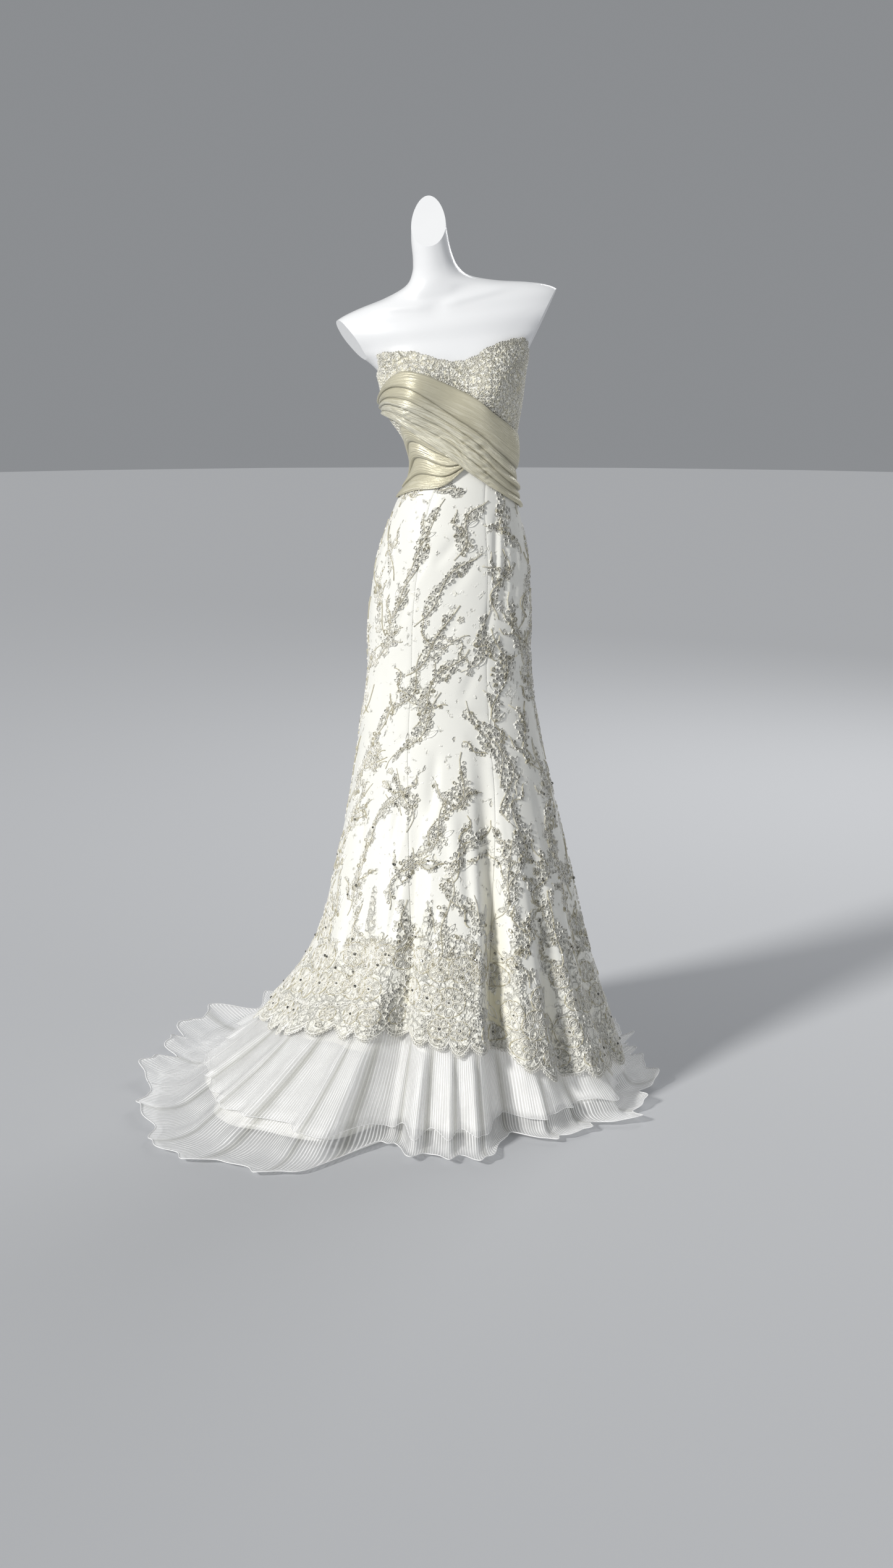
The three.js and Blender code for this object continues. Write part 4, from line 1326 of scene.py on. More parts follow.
@dataclass
class Skirt:
    """Seven gores of lace over satin from the waist to the scalloped edging."""

    finish: Material
    sprays: Sprays
    rosettes: tuple[Array, Array, Array]
    cell: float = 7.2
    length: float = 960.0
    degree_length: float = 6.6
    bare_middles_from: float = 13.0

    # piece, seam angles at hip and hem on both sides
    gores: tuple = (
        ("skirt_front", (-27, -18.2), (27, 18.2)),
        ("skirt_side_front_left", (-SIDE_SEAM, -SIDE_SEAM), (-27, -18.2)),
        ("skirt_side_front_right", (27, 18.2), (SIDE_SEAM, SIDE_SEAM)),
        ("skirt_side_back_left", (-BACK_SEAM, -BACK_SEAM), (-SIDE_SEAM, -SIDE_SEAM)),
        ("skirt_side_back_right", (SIDE_SEAM, SIDE_SEAM), (BACK_SEAM, BACK_SEAM)),
        ("skirt_back_left", (-180, -180), (-BACK_SEAM, -BACK_SEAM)),
        ("skirt_back_right", (BACK_SEAM, BACK_SEAM), (180, 180)),
    )

    def lace(self, angle: Array, z: Array) -> Array:
        """How much lace covers the satin: the sprays, the rosettes' discs with bare petals in
        the larger ones, and all of the cloth beside the scalloped edging, fading out upwards
        above an edge of flames. Nearly none is left in the valleys.

        Args:
            angle: degrees.
            z: heights.

        Returns:
            The cover, 0 or less where the satin is bare and up to 1.
        """
        cover = self.sprays.cover(angle, z)
        g = flared_degree(z)
        petals = np.zeros(z.shape)
        for a, h, r in zip(*self.rosettes):
            away = np.hypot(wrap(angle - a) * g, z - h) / (1.25 * r)
            cover = np.maximum(cover, np.clip(1.3 - away, 0, 1))
            petals = np.maximum(petals, smooth((0.5 - away) / 0.15) * (r > self.bare_middles_from))
        edge = hem(angle)[1] + 58 + 140 * flame(angle) + 16 * np.sin(np.radians(53 * angle) + 1)
        cover = np.maximum(cover, np.clip(0.75 - (z - edge) / 70, 0, 1)) - 0.9 * petals
        return cover * (1 - 0.9 * smooth(valley_shade(angle, z) * 2.5))

    def build(self) -> None:
        """Makes the gores: angle = mix of both seams by the share across, z = mix of the lower
        seam and the waist by the share up, on the creased skirt less the seams' hollows."""
        for name, low_side, high_side in self.gores:
            span = high_side[1] - low_side[1]
            across = edged(max(8, round(span * self.degree_length / self.cell)))
            rows = np.linspace(0.01, 0.99, round(self.length / self.cell))
            part, share = np.meshgrid(across, np.concatenate([[0, 0.003], rows, [0.997, 1]]))

            def at(z: Array) -> Array:
                """The gore's angle at a height and at its share across."""
                return mix(seam_angle(*low_side, z, 1), seam_angle(*high_side, z, -1), part)

            low = np.full(part.shape, FLARE_FOOT)
            for _ in range(6):
                low = lace_hem(at(low)) + SEAM
            z = mix(low, WAIST - SEAM, share)
            angle = at(z)
            span = seam_angle(*high_side, z, 0) - seam_angle(*low_side, z, 0)
            dip = seam_dip(part, section(z)[2] * np.radians(span), 0.8, 2.4)
            cloth = Cloth(name, "cloth", Slot.LACE, Hold.HUNG, "form_torso")
            # the last number is the share of painted olive shade, deep in the flutes
            cloth.make(LINE.point(angle, z, calm_creasing(angle, z) - dip), self.finish,
                       lace=self.lace(angle, z), valley_shade=valley_shade(angle, z))


@dataclass
class Edging:
    """The scalloped edging below the gores."""

    finish: Material
    radius: float = 300.0
    columns_per_scallop: int = 12
    rows: int = 8

    def build(self) -> None:
        """Makes the three lengths: z = mix of the scalloped line and the seam by the share up."""
        gap = half_gap(self.radius)
        for part, start, end in THIRDS:
            count = round((end - start) / 360 * SCALLOPS * self.columns_per_scallop)
            angle, share = np.meshgrid(np.linspace(start + gap, end - gap, count + 1),
                                       np.linspace(0, 1, self.rows))
            z = mix(scallop_low(angle), lace_hem(angle), share)
            cloth = Cloth("lace_border_" + part, "cloth", Slot.LACE, Hold.HUNG, "skirt_front_cloth")
            # the last number is the share of painted olive shade, deep in the flutes
            cloth.make(LINE.point(angle, z, creasing(angle, z)), self.finish,
                       lace=np.ones(z.shape), valley_shade=valley_shade(angle, z))


@dataclass(frozen=True)
class Band:
    """One stretch of the sash: rows of angle, lower edge, upper edge and how far it stands off
    the body, and how high each of its folds rises, from the lowest up."""

    name: str
    rows: tuple[tuple[float, float, float, float], ...]
    rises: tuple[float, ...]
    columns: int
    crush: float = 0.0
    folds: Array | None = None
    uv_size: float = 40.0

    def fold_lines(self, angle: Array) -> Array:
        """Shares of the folds' lower edges at each angle, with 0 first and 1 last.

        Args:
            angle: degrees.

        Returns:
            One row of shares for each line.
        """
        n = len(self.rises)
        inner = [np.full(angle.shape, k / n) for k in range(1, n)]
        if self.folds is not None:
            inner = Curves(self.folds)(angle)
        return np.stack([np.zeros(angle.shape), *inner, np.ones(angle.shape)])

    def gathers(self, angle: Array, share: Array) -> Array:
        """Crushed cloth low on the band: fine uneven ridges that run along it and fork.

        Two waves across the share, each bent by slow waves of the angle and faded in and out by
        others, strongest low on the middle of the band.

        Args:
            angle: degrees.
            share: shares up the band.

        Returns:
            How far the ridges stand out.
        """
        a = np.radians(angle)
        bend = 0.10 * np.sin(5 * a + 1) + 0.05 * np.sin(13 * a)
        one = np.sin(TURN * (8.5 * share + 3 * bend + 0.5 * np.sin(7 * a)))
        two = np.sin(TURN * (13 * share - 2.2 * a + 2 * bend + 0.35 * np.sin(17 * a + 2)))
        fade = 0.5 + 0.5 * np.sin(9 * a + 11 * share)
        across = np.sin(TURN * (2.5 * share + 5.5 * a)) ** 3
        where = smooth((0.66 - share) / 0.3) * smooth((angle + 66) / 30) * smooth((44 - angle) / 26)
        return self.crush * where * (one * fade + 0.8 * two * (1 - fade) + 0.15 * across)

    def make(self, finish: Material) -> None:
        """Makes the band: share = fold line + t x the way to the next, out = stand +
        rise x sin(pi t^0.6)^0.8 + gathers, so that each fold is a roll with a sharp lower edge.

        Args:
            finish: satin.
        """
        t = np.array([0, 0.025, 0.07, 0.14, 0.24, 0.36, 0.5, 0.64, 0.78, 0.9, 0.97])
        angles = np.linspace(self.rows[0][0], self.rows[-1][0], self.columns)
        lines = self.fold_lines(angles)
        folds = len(lines) - 1
        share = np.concatenate([mix(lines[k], lines[k + 1], t[:, None]) for k in range(folds)]
                               + [lines[-1:]])
        within = np.concatenate([np.tile(t, folds), [1.0]])[:, None]
        rise = np.concatenate([np.repeat(self.rises, len(t)), [0.0]])[:, None]
        low, high, stand = Curves(np.array(self.rows, float))(angles)
        angle = np.broadcast_to(angles, share.shape)
        wave = 1 + 0.3 * np.sin(np.radians(angle) * 6 + 2.1 * rise)
        roll = rise * wave * np.sin(np.pi * within ** 0.6).clip(0) ** 0.8
        ends = smooth((angle - angles[0]) / 6) * smooth((angles[-1] - angle) / 6)
        out = stand + roll + (self.gathers(angle, share) + 0.35 * self.crush) * ends
        # painted shade in the crevices along the fold lines
        crease_shade = np.exp(-within / 0.05) * (share > 0.01) + 0.6 * np.exp(-(1 - within) / 0.04)
        # painted sheen: paler low on the crushed band, fading out towards +X, away from the key light
        pale = smooth((0.64 - share) / 0.16) * smooth((58 - angle) / 70) * 0.4 * self.crush
        cloth = Cloth(self.name, "satin", Slot.SASH, Hold.STRETCHED, "form_torso", 1.0, 1.12)
        cloth.make(LINE.point(angle, mix(low, high, share), out), finish,
                   uv=np.stack([angle / self.uv_size, share * 3.3], -1),
                   valley_shade=crease_shade * np.ones(share.shape), pale=pale)


@dataclass
class Sash:
    """The crossed sash: a pleated upper and lower band in front and two plain ends behind."""

    finish: Material
    bands: tuple[Band, ...] = (
        Band("sash_upper", (
            (-99, 1306, 1333, 4), (-84, 1310, 1346, 4.2), (-60, 1300, 1375, 6.5),
            (-45, 1281, 1391, 8.8), (-33, 1259, 1397, 8.8), (-20, 1240, 1388, 8.8),
            (-8, 1224, 1372, 8.8), (4, 1206, 1356, 8.8), (20, 1188, 1334, 5.5),
            (36, 1171, 1307, 4.4), (60, 1149, 1280, 4), (86, 1131, 1262, 4)),
            (5.0, 2.8, 6.0, 3.8, 5.8), 220, 2.0, SASH_FOLDS),
        Band("sash_lower", (
            (-88, 1149, 1226, 3.3), (-75, 1155, 1262, 3.3), (-62, 1162, 1288, 3.3),
            (-49, 1168, 1288, 3.3), (-24, 1174, 1258, 3.3), (-14, 1183, 1246, 3.3),
            (-4, 1200, 1236, 3.3), (6, 1216, 1232, 3.3)), (4.0, 4.4, 4.2, 3.4), 110),
        Band("sash_back_right", (
            (86.3, 1131, 1262, 2.8), (130, 1136, 1254, 2.8), (179.6, 1140, 1248, 2.8)),
            (2.2, 2.4, 2.2, 2.0), 80),
        Band("sash_back_left", (
            (180.4, 1140, 1248, 2.8), (230, 1145, 1240, 2.8), (271.4, 1149, 1226, 2.8)),
            (2.2, 2.4, 2.2, 2.0), 80),
    )

    def build(self) -> None:
        """Makes the four stretches."""
        for band in self.bands:
            band.make(self.finish)

    def covers(self, angle: Array, z: Array, margin: float = 6.0) -> Array:
        """Whether the sash hides a point of the gown, except within a margin of its edges.

        Args:
            angle: degrees.
            z: heights.
            margin: width of the band's own edge that counts as bare.

        Returns:
            True where a band hides the point.
        """
        hidden = np.zeros(angle.shape, bool)
        for band in self.bands:
            rows = np.array(band.rows, float)
            turn = rows[0, 0] + (angle - rows[0, 0]) % 360
            low, high, _ = Curves(rows)(turn)
            hidden |= (turn < rows[-1, 0]) & (z > low + margin) & (z < high - margin)
        return hidden


@dataclass
class Bodice:
    """The princess-cut bodice with its sweetheart edge of small scallops."""

    finish: Material
    radius: float = 100.0
    rows: int = 40
    degrees_to_column: float = 1.6
    panels: tuple = (
        ("bodice_front", -PRINCESS, PRINCESS), ("bodice_side_front_right", PRINCESS, SIDE_SEAM),
        ("bodice_side_front_left", -SIDE_SEAM, -PRINCESS),
        ("bodice_side_back_right", SIDE_SEAM, BACK_SEAM),
        ("bodice_side_back_left", -BACK_SEAM, -SIDE_SEAM),
        ("bodice_back_right", BACK_SEAM, 180.0), ("bodice_back_left", -180.0, -BACK_SEAM),
    )

    def build(self) -> None:
        """Makes the panels: z = mix of the waist and the scalloped neckline by the share up."""
        gap = half_gap(self.radius)
        for name, start, end in self.panels:
            across = edged(round((end - start) / self.degrees_to_column))
            part, share = np.meshgrid(across, np.linspace(0, 1, self.rows))
            angle = mix(start + gap, end - gap, part)
            z = mix(WAIST + SEAM, scalloped_neckline(angle), share)
            dip = seam_dip(part, section(z)[2] * np.radians(end - start), 0.7, 2.0)
            cloth = Cloth(name, "cloth", Slot.BODICE, Hold.STRETCHED, "form_torso")
            cloth.make(LINE.point(angle, z, -dip), self.finish, lace=np.ones(z.shape))


@dataclass
class Lace:
    """The raised lace: loops, stems, leaves and rosettes of cord, and the stones on it."""

    finish: Material
    bodice_finish: Material
    stones: Material
    sprays: Sprays
    rosettes: tuple[Array, Array, Array]
    sash: Sash
    seed: int = 5
    pitch_front: float = 9.9
    pitch_back: float = 12.4
    bodice_pitch: float = 5.8
    filling_to_degree: float = 6.4
    large_spray: float = 30.0
    large_rosette: float = 13.0
    buttons_at: float = 175.0

    def spray_points(self, i: int, rng: np.random.Generator) -> tuple[Array, Array]:
        """Middles of the loops of one spray: a jittered grid over the spray's box, kept where
        it lies inside the outline.

        Args:
            i: the spray.
            rng: random numbers.

        Returns:
            Angles and heights.
        """
        s = self.sprays
        pitch = self.pitch_front if np.abs(s.angle[i]) < 90 else self.pitch_back
        length, width = s.half_length[i], s.half_width[i]
        a, b = np.meshgrid(np.arange(-length, length, pitch),
                           np.arange(-1.6 * width, 1.6 * width, pitch))
        a = (a + rng.uniform(-0.28, 0.28, a.shape) * pitch).ravel()
        b = (b + rng.uniform(-0.28, 0.28, b.shape) * pitch).ravel()
        inside = np.abs(b - s.bend(i, a / length)) < s.outline(i, a / length) + 0.5
        x, y = lean(a[inside], b[inside], s.slant[i])
        return s.angle[i] + x / degree(s.z[i]), s.z[i] + y

    def stems(self, work: Cordwork, chosen: Array, rng: np.random.Generator) -> None:
        """Lays a winding stem that runs past both ends of each chosen spray.

        Args:
            work: where they are laid.
            chosen: numbers of the sprays.
            rng: random numbers.
        """
        s = self.sprays
        a, i = np.linspace(-1.3, 1.25, 13)[None], chosen[:, None]
        across = s.bend(i, a) + 0.35 * s.half_width[i] * np.sin(3.4 * a + 2 * s.phase[i])
        path = np.stack(lean(a * s.half_length[i], across, s.slant[i]), -1)
        free = s.z[chosen] + 1.2 * s.half_length[chosen] < WAIST - 10
        # the stems are dark: painted shade standing for thin shadow lines along the cords
        work.cords(s.angle[chosen][free], s.z[chosen][free], path[free], False, 1.1, 2.2,
                   rng.uniform(0.0, 0.4, int(free.sum())))

    def bare(self, angle: Array, z: Array, below_waist: float, margin: float,
             above_hem: float) -> Array:
        """Where the lace of the skirt may lie: under the waist, off the sash and off the hem."""
        return ((z < WAIST - below_waist) & ~self.sash.covers(angle, z, margin)
                & (z > lace_hem(angle) + above_hem))

    def grow(self, work: Cordwork, chosen: Array, rng: np.random.Generator) -> None:
        """Lays the chosen sprays: loops, stems, leaves that leave the stem, and small flowers
        near its ends.

        Args:
            work: where they are laid.
            chosen: numbers of the sprays.
            rng: random numbers.
        """
        s = self.sprays
        angle, z = np.concatenate([self.spray_points(i, rng) for i in chosen], 1)
        seen = self.bare(angle, z, 6, 6, 2) & (valley_shade(angle, z) < 0.3)
        seen &= (np.abs(wrap(angle - self.buttons_at)) > 8) | (z < 1060)
        angle, z = angle[seen], z[seen]
        n = len(angle)
        # one loop in five is dark, painted shade for the lace's small shadows; the rest vary at random
        work.rings(angle, z, rng.uniform(2.8, 4.6, n), rng.uniform(0.6, 1.0, n),
                   rng.uniform(0, 180, n), 0.9, 2.6, 5,
                   np.where(rng.random(n) < 0.2, rng.uniform(0, 0.4, n), rng.uniform(0.8, 1, n)))
        self.stems(work, chosen, rng)
        for side, share in ((1, 0.35), (-1, -0.2), (1, -0.75)):
            kept = rng.random(len(chosen)) < 0.55
            picked = chosen[kept & (s.half_length[chosen] > self.large_spray)]
            n = len(picked)
            a = share + rng.uniform(-0.15, 0.15, n)
            length = rng.uniform(20, 32, n)
            turn = s.slant[picked] + side * rng.uniform(18, 42, n)
            angle, z = s.place(picked, a, side * (s.outline(picked, a) * 0.7 + 0.21 * length))
            ok = self.bare(angle, z, 26, -14, 16)
            work.leaves(angle[ok], z[ok], length[ok], length[ok] * 0.17, turn[ok])
        kept = rng.random(len(chosen)) < 0.7
        picked = chosen[kept & (s.half_length[chosen] > self.large_spray)]
        n = len(picked)
        turn = s.slant[picked] + rng.uniform(-25, 25, n)
        reach = s.half_length[picked] * rng.uniform(0.9, 1.25, n)
        x, y = lean(rng.choice([-1, 1], n) * reach, 0, turn)
        angle, z = s.angle[picked] + x / degree(s.z[picked]), s.z[picked] + y
        ok = self.bare(angle, z, 16, -8, 12)
        self.flowers(work, angle[ok], z[ok], rng.uniform(3.2, 4.4, int(ok.sum())), 5, 1, rng)

    def flowers(self, work: Cordwork, angle: Array, z: Array, radius: Array, petals: int,
                layers: int, rng: np.random.Generator) -> None:
        """Lays round flowers: a ring and, in the small ones, a bead in the middle, and petal
        rings round it at (angle + 1.18 r sin t / g, z + 1.18 r cos t / h).

        Args:
            work: where they are laid.
            angle: middles.
            z: heights.
            radius: half the distance from the middle to a petal's tip.
            petals: petals in a flower.
            layers: outlines of each petal, one inside the other.
            rng: random numbers.
        """
        if not len(angle):
            return
        g, h = work.scales(angle, z)
        spin = rng.uniform(0, TURN, len(angle))
        t = spin[:, None] + np.arange(petals) * TURN / petals
        reach = (1.18 * radius)[:, None]
        pa = (angle[:, None] + reach * np.sin(t) / g[:, None]).ravel()
        pz = (z[:, None] + reach * np.cos(t) / h[:, None]).ravel()
        size = np.repeat(radius, petals) * 0.78
        for layer in range(layers):
            work.rings(pa, pz, size * (1 - 0.36 * layer), 0.74, 90 - np.degrees(t).ravel(),
                       0.8 if layer else 1.4, 2.3, 8 if layers > 1 else 6,
                       rng.uniform(0.6, 1, len(pa)))
        work.rings(angle, z, radius * 0.36, 1.0, 0.0, 0.8, 1.8, 6)
        if layers == 1:
            work.beads(angle, z, radius * 0.26)

    def edge(self, work: Cordwork, start: float, end: float, rng: np.random.Generator) -> None:
        """Lays the scalloped hem: two cords along the edge, loops outside the lower one, loops
        along the seam above, and small loops between the cords.

        Args:
            work: where it is laid.
            start: first angle.
            end: last angle.
            rng: random numbers.
        """
        ends = np.linspace(start, end, 61)
        middle = 0.5 * (ends[1:] + ends[:-1])
        a = middle[:, None] + np.linspace(-0.5, 0.5, 15) * (ends[1] - ends[0])
        for up, width in ((1.2, 1.3), (8.0, 0.9)):
            zero = scallop_low(middle) + up
            g, h = work.scales(middle, zero)
            path = np.stack([(a - middle[:, None]) * g[:, None],
                             (scallop_low(a) + up - zero[:, None]) * h[:, None]], -1)
            work.cords(middle, zero, path, False, width, 2.0)

        def evenly(to_degree: float) -> tuple[Array, int]:
            """Evenly spaced angles between the ends, and how many they are."""
            n = round((end - start) * to_degree)
            return start + (np.arange(n) + 0.5) * (end - start) / n, n

        angle, n = evenly(1.25)
        work.rings(angle, scallop_low(angle) - 0.8, rng.uniform(2.3, 3.4, n), 0.85, 90, 0.8, 1.7,
                   6, rng.uniform(0.7, 1, n))
        angle, n = evenly(1.1)
        work.rings(angle, lace_hem(angle) + rng.uniform(-1.5, 1.5, n), rng.uniform(2.8, 4.2, n),
                   0.85, rng.uniform(-30, 30, n), 1.0, 1.8, 6, rng.uniform(0.8, 1, n))
        angle, n = evenly(1.0)
        work.rings(angle, scallop_low(angle) + 4.8, rng.uniform(1.8, 2.6, n), 0.9, 0, 0.55, 1.1, 5,
                   rng.uniform(0.6, 1, n))

    def filling(self, work: Cordwork, start: float, end: float,
                rng: np.random.Generator) -> None:
        """Lays small loops at random between the scallops and the rosettes above them, fewer
        in the valleys.

        Args:
            work: where they are laid.
            start: first angle.
            end: last angle.
            rng: random numbers.
        """
        n = round((end - start) * self.filling_to_degree)
        angle = rng.uniform(start, end, n)
        z = scallop_low(angle) + 9 + rng.random(n) ** 1.2 * (62 + 150 * flame(angle))
        ra, rz, rr = self.rosettes
        g = flared_degree(z)[:, None]
        away = np.hypot(wrap(angle[:, None] - ra) * g, z[:, None] - rz) / rr
        free = (away.min(1) > 1.12) & (valley_shade(angle, z) < 0.25 + 0.5 * rng.random(n))
        angle, z, n = angle[free], z[free], int(free.sum())
        work.rings(angle, z, rng.uniform(2.3, 4.2, n), rng.uniform(0.6, 1, n),
                   rng.uniform(0, 180, n), 0.9, 2.6, 5, rng.uniform(0.7, 1, n))

    def hem_lace(self, name: str, start: float, end: float, seed: int) -> None:
        """Makes the lace of the hem between two angles: edge, rosettes in two dark rings, a pair
        of leaves beside each rosette of the upper rows, and filling.

        Args:
            name: the piece's name.
            start: first angle.
            end: last angle.
            seed: seed of its random numbers.
        """
        rng = np.random.default_rng(seed)
        work = Cordwork(skirt_ground)
        self.edge(work, start, end, rng)
        angle, z, radius = self.rosettes
        inside = (start + (angle - start) % 360) < end
        angle, z, radius = angle[inside], z[inside], radius[inside]
        big = radius > self.large_rosette
        self.flowers(work, angle[big], z[big], radius[big] * 0.62, 6, 2, rng)
        for wide, tone in ((1.22, 0.0), (0.34, 0.15)):
            work.rings(angle[big], z[big], radius[big] * wide, 0.92, 0.0, 1.15, 2.0, 14,
                       np.full(int(big.sum()), tone))
        high = z > hem(angle)[1] + 40
        angle, z, radius, n = angle[high], z[high], radius[high], int(high.sum())
        for side in (-1, 1):
            turn = side * rng.uniform(20, 60, n)
            length = rng.uniform(22, 34, n)
            work.leaves(angle + side * radius * 1.35 / (degree(z) * 1.1),
                        z + rng.uniform(-8, 14, n), length, length * 0.19, turn)
        self.filling(work, start, end, rng)
        dress(work.mesh(name), self.finish)

    def bodice(self) -> None:
        """Makes the bodice's lace: a dense jittered field of loops over everything that the sash
        leaves bare, and two rows of picots along the neckline."""
        rng = np.random.default_rng(self.seed)
        work = Cordwork(LINE.point)
        pitch = self.bodice_pitch
        z, arc = np.meshgrid(np.arange(WAIST + 4, 1440, pitch), np.arange(-400, 400, pitch))
        z = (z + rng.uniform(-0.3, 0.3, z.shape) * pitch).ravel()
        arc = (arc + rng.uniform(-0.3, 0.3, arc.shape) * pitch).ravel()
        _, _, w, f, b, _ = section(z)
        angle = np.degrees(arc / (0.5 * (w + 0.5 * (f + b)) * 1.04))
        seen = (np.abs(angle) < 179.4) & (z < neckline(angle) - 6.5)
        seen &= ~self.sash.covers(angle, z, 4)
        angle, z, n = angle[seen], z[seen], int(seen.sum())
        work.rings(angle, z, rng.uniform(2.0, 3.3, n), rng.uniform(0.6, 1, n),
                   rng.uniform(0, 180, n), 0.75, 1.5, 5, rng.random(n) ** 0.6)
        n = 190
        angle = -180 + (np.arange(n) + 0.5) * 360 / n
        top = scalloped_neckline(angle)
        work.rings(angle, top - 1.2, np.full(n, 2.5), 0.85, 90, 0.6, 1.3, 6,
                   rng.uniform(0.7, 1, n))
        work.rings(angle + 0.9, top - 5.4, np.full(n, 2.2), 0.9, 0, 0.55, 1.2, 5,
                   rng.uniform(0.5, 1, n))
        dress(work.mesh("bodice_lace"), self.bodice_finish)

    def crystals(self) -> None:
        """Makes the stones: one in most rosettes and a few in the sprays, on the lower skirt."""
        rng = np.random.default_rng(self.seed + 3)
        angle, z, _ = self.rosettes
        keep = rng.random(len(angle)) < 0.62
        low = np.nonzero((self.sprays.z < 640) & (rng.random(len(self.sprays.z)) < 0.6))[0]
        a, h = self.sprays.place(low, rng.uniform(-0.7, 0.7, len(low)))
        a, h = np.concatenate([angle[keep], a]), np.concatenate([z[keep], h])
        work = Cordwork(skirt_ground)
        work.beads(a, h, rng.uniform(2.2, 3.4, len(a)))
        stones = work.mesh("crystals")
        stones.data.polygons.foreach_set("use_smooth", np.zeros(len(stones.data.polygons), bool))
        dress(stones, self.stones)

    def build(self) -> None:
        """Makes the skirt's lace in two halves, the hem's in two, the bodice's and the stones."""
        front = np.abs(self.sprays.angle) < 90
        for name, chosen, seed in (("skirt_lace_front", front, 21), ("skirt_lace_back", ~front, 22)):
            work = Cordwork(skirt_ground)
            self.grow(work, np.nonzero(chosen)[0], np.random.default_rng(seed))
            dress(work.mesh(name), self.finish)
        self.hem_lace("hem_lace_front", -90, 90, 31)
        self.hem_lace("hem_lace_back", 90, 270, 32)
        self.bodice()
        self.crystals()


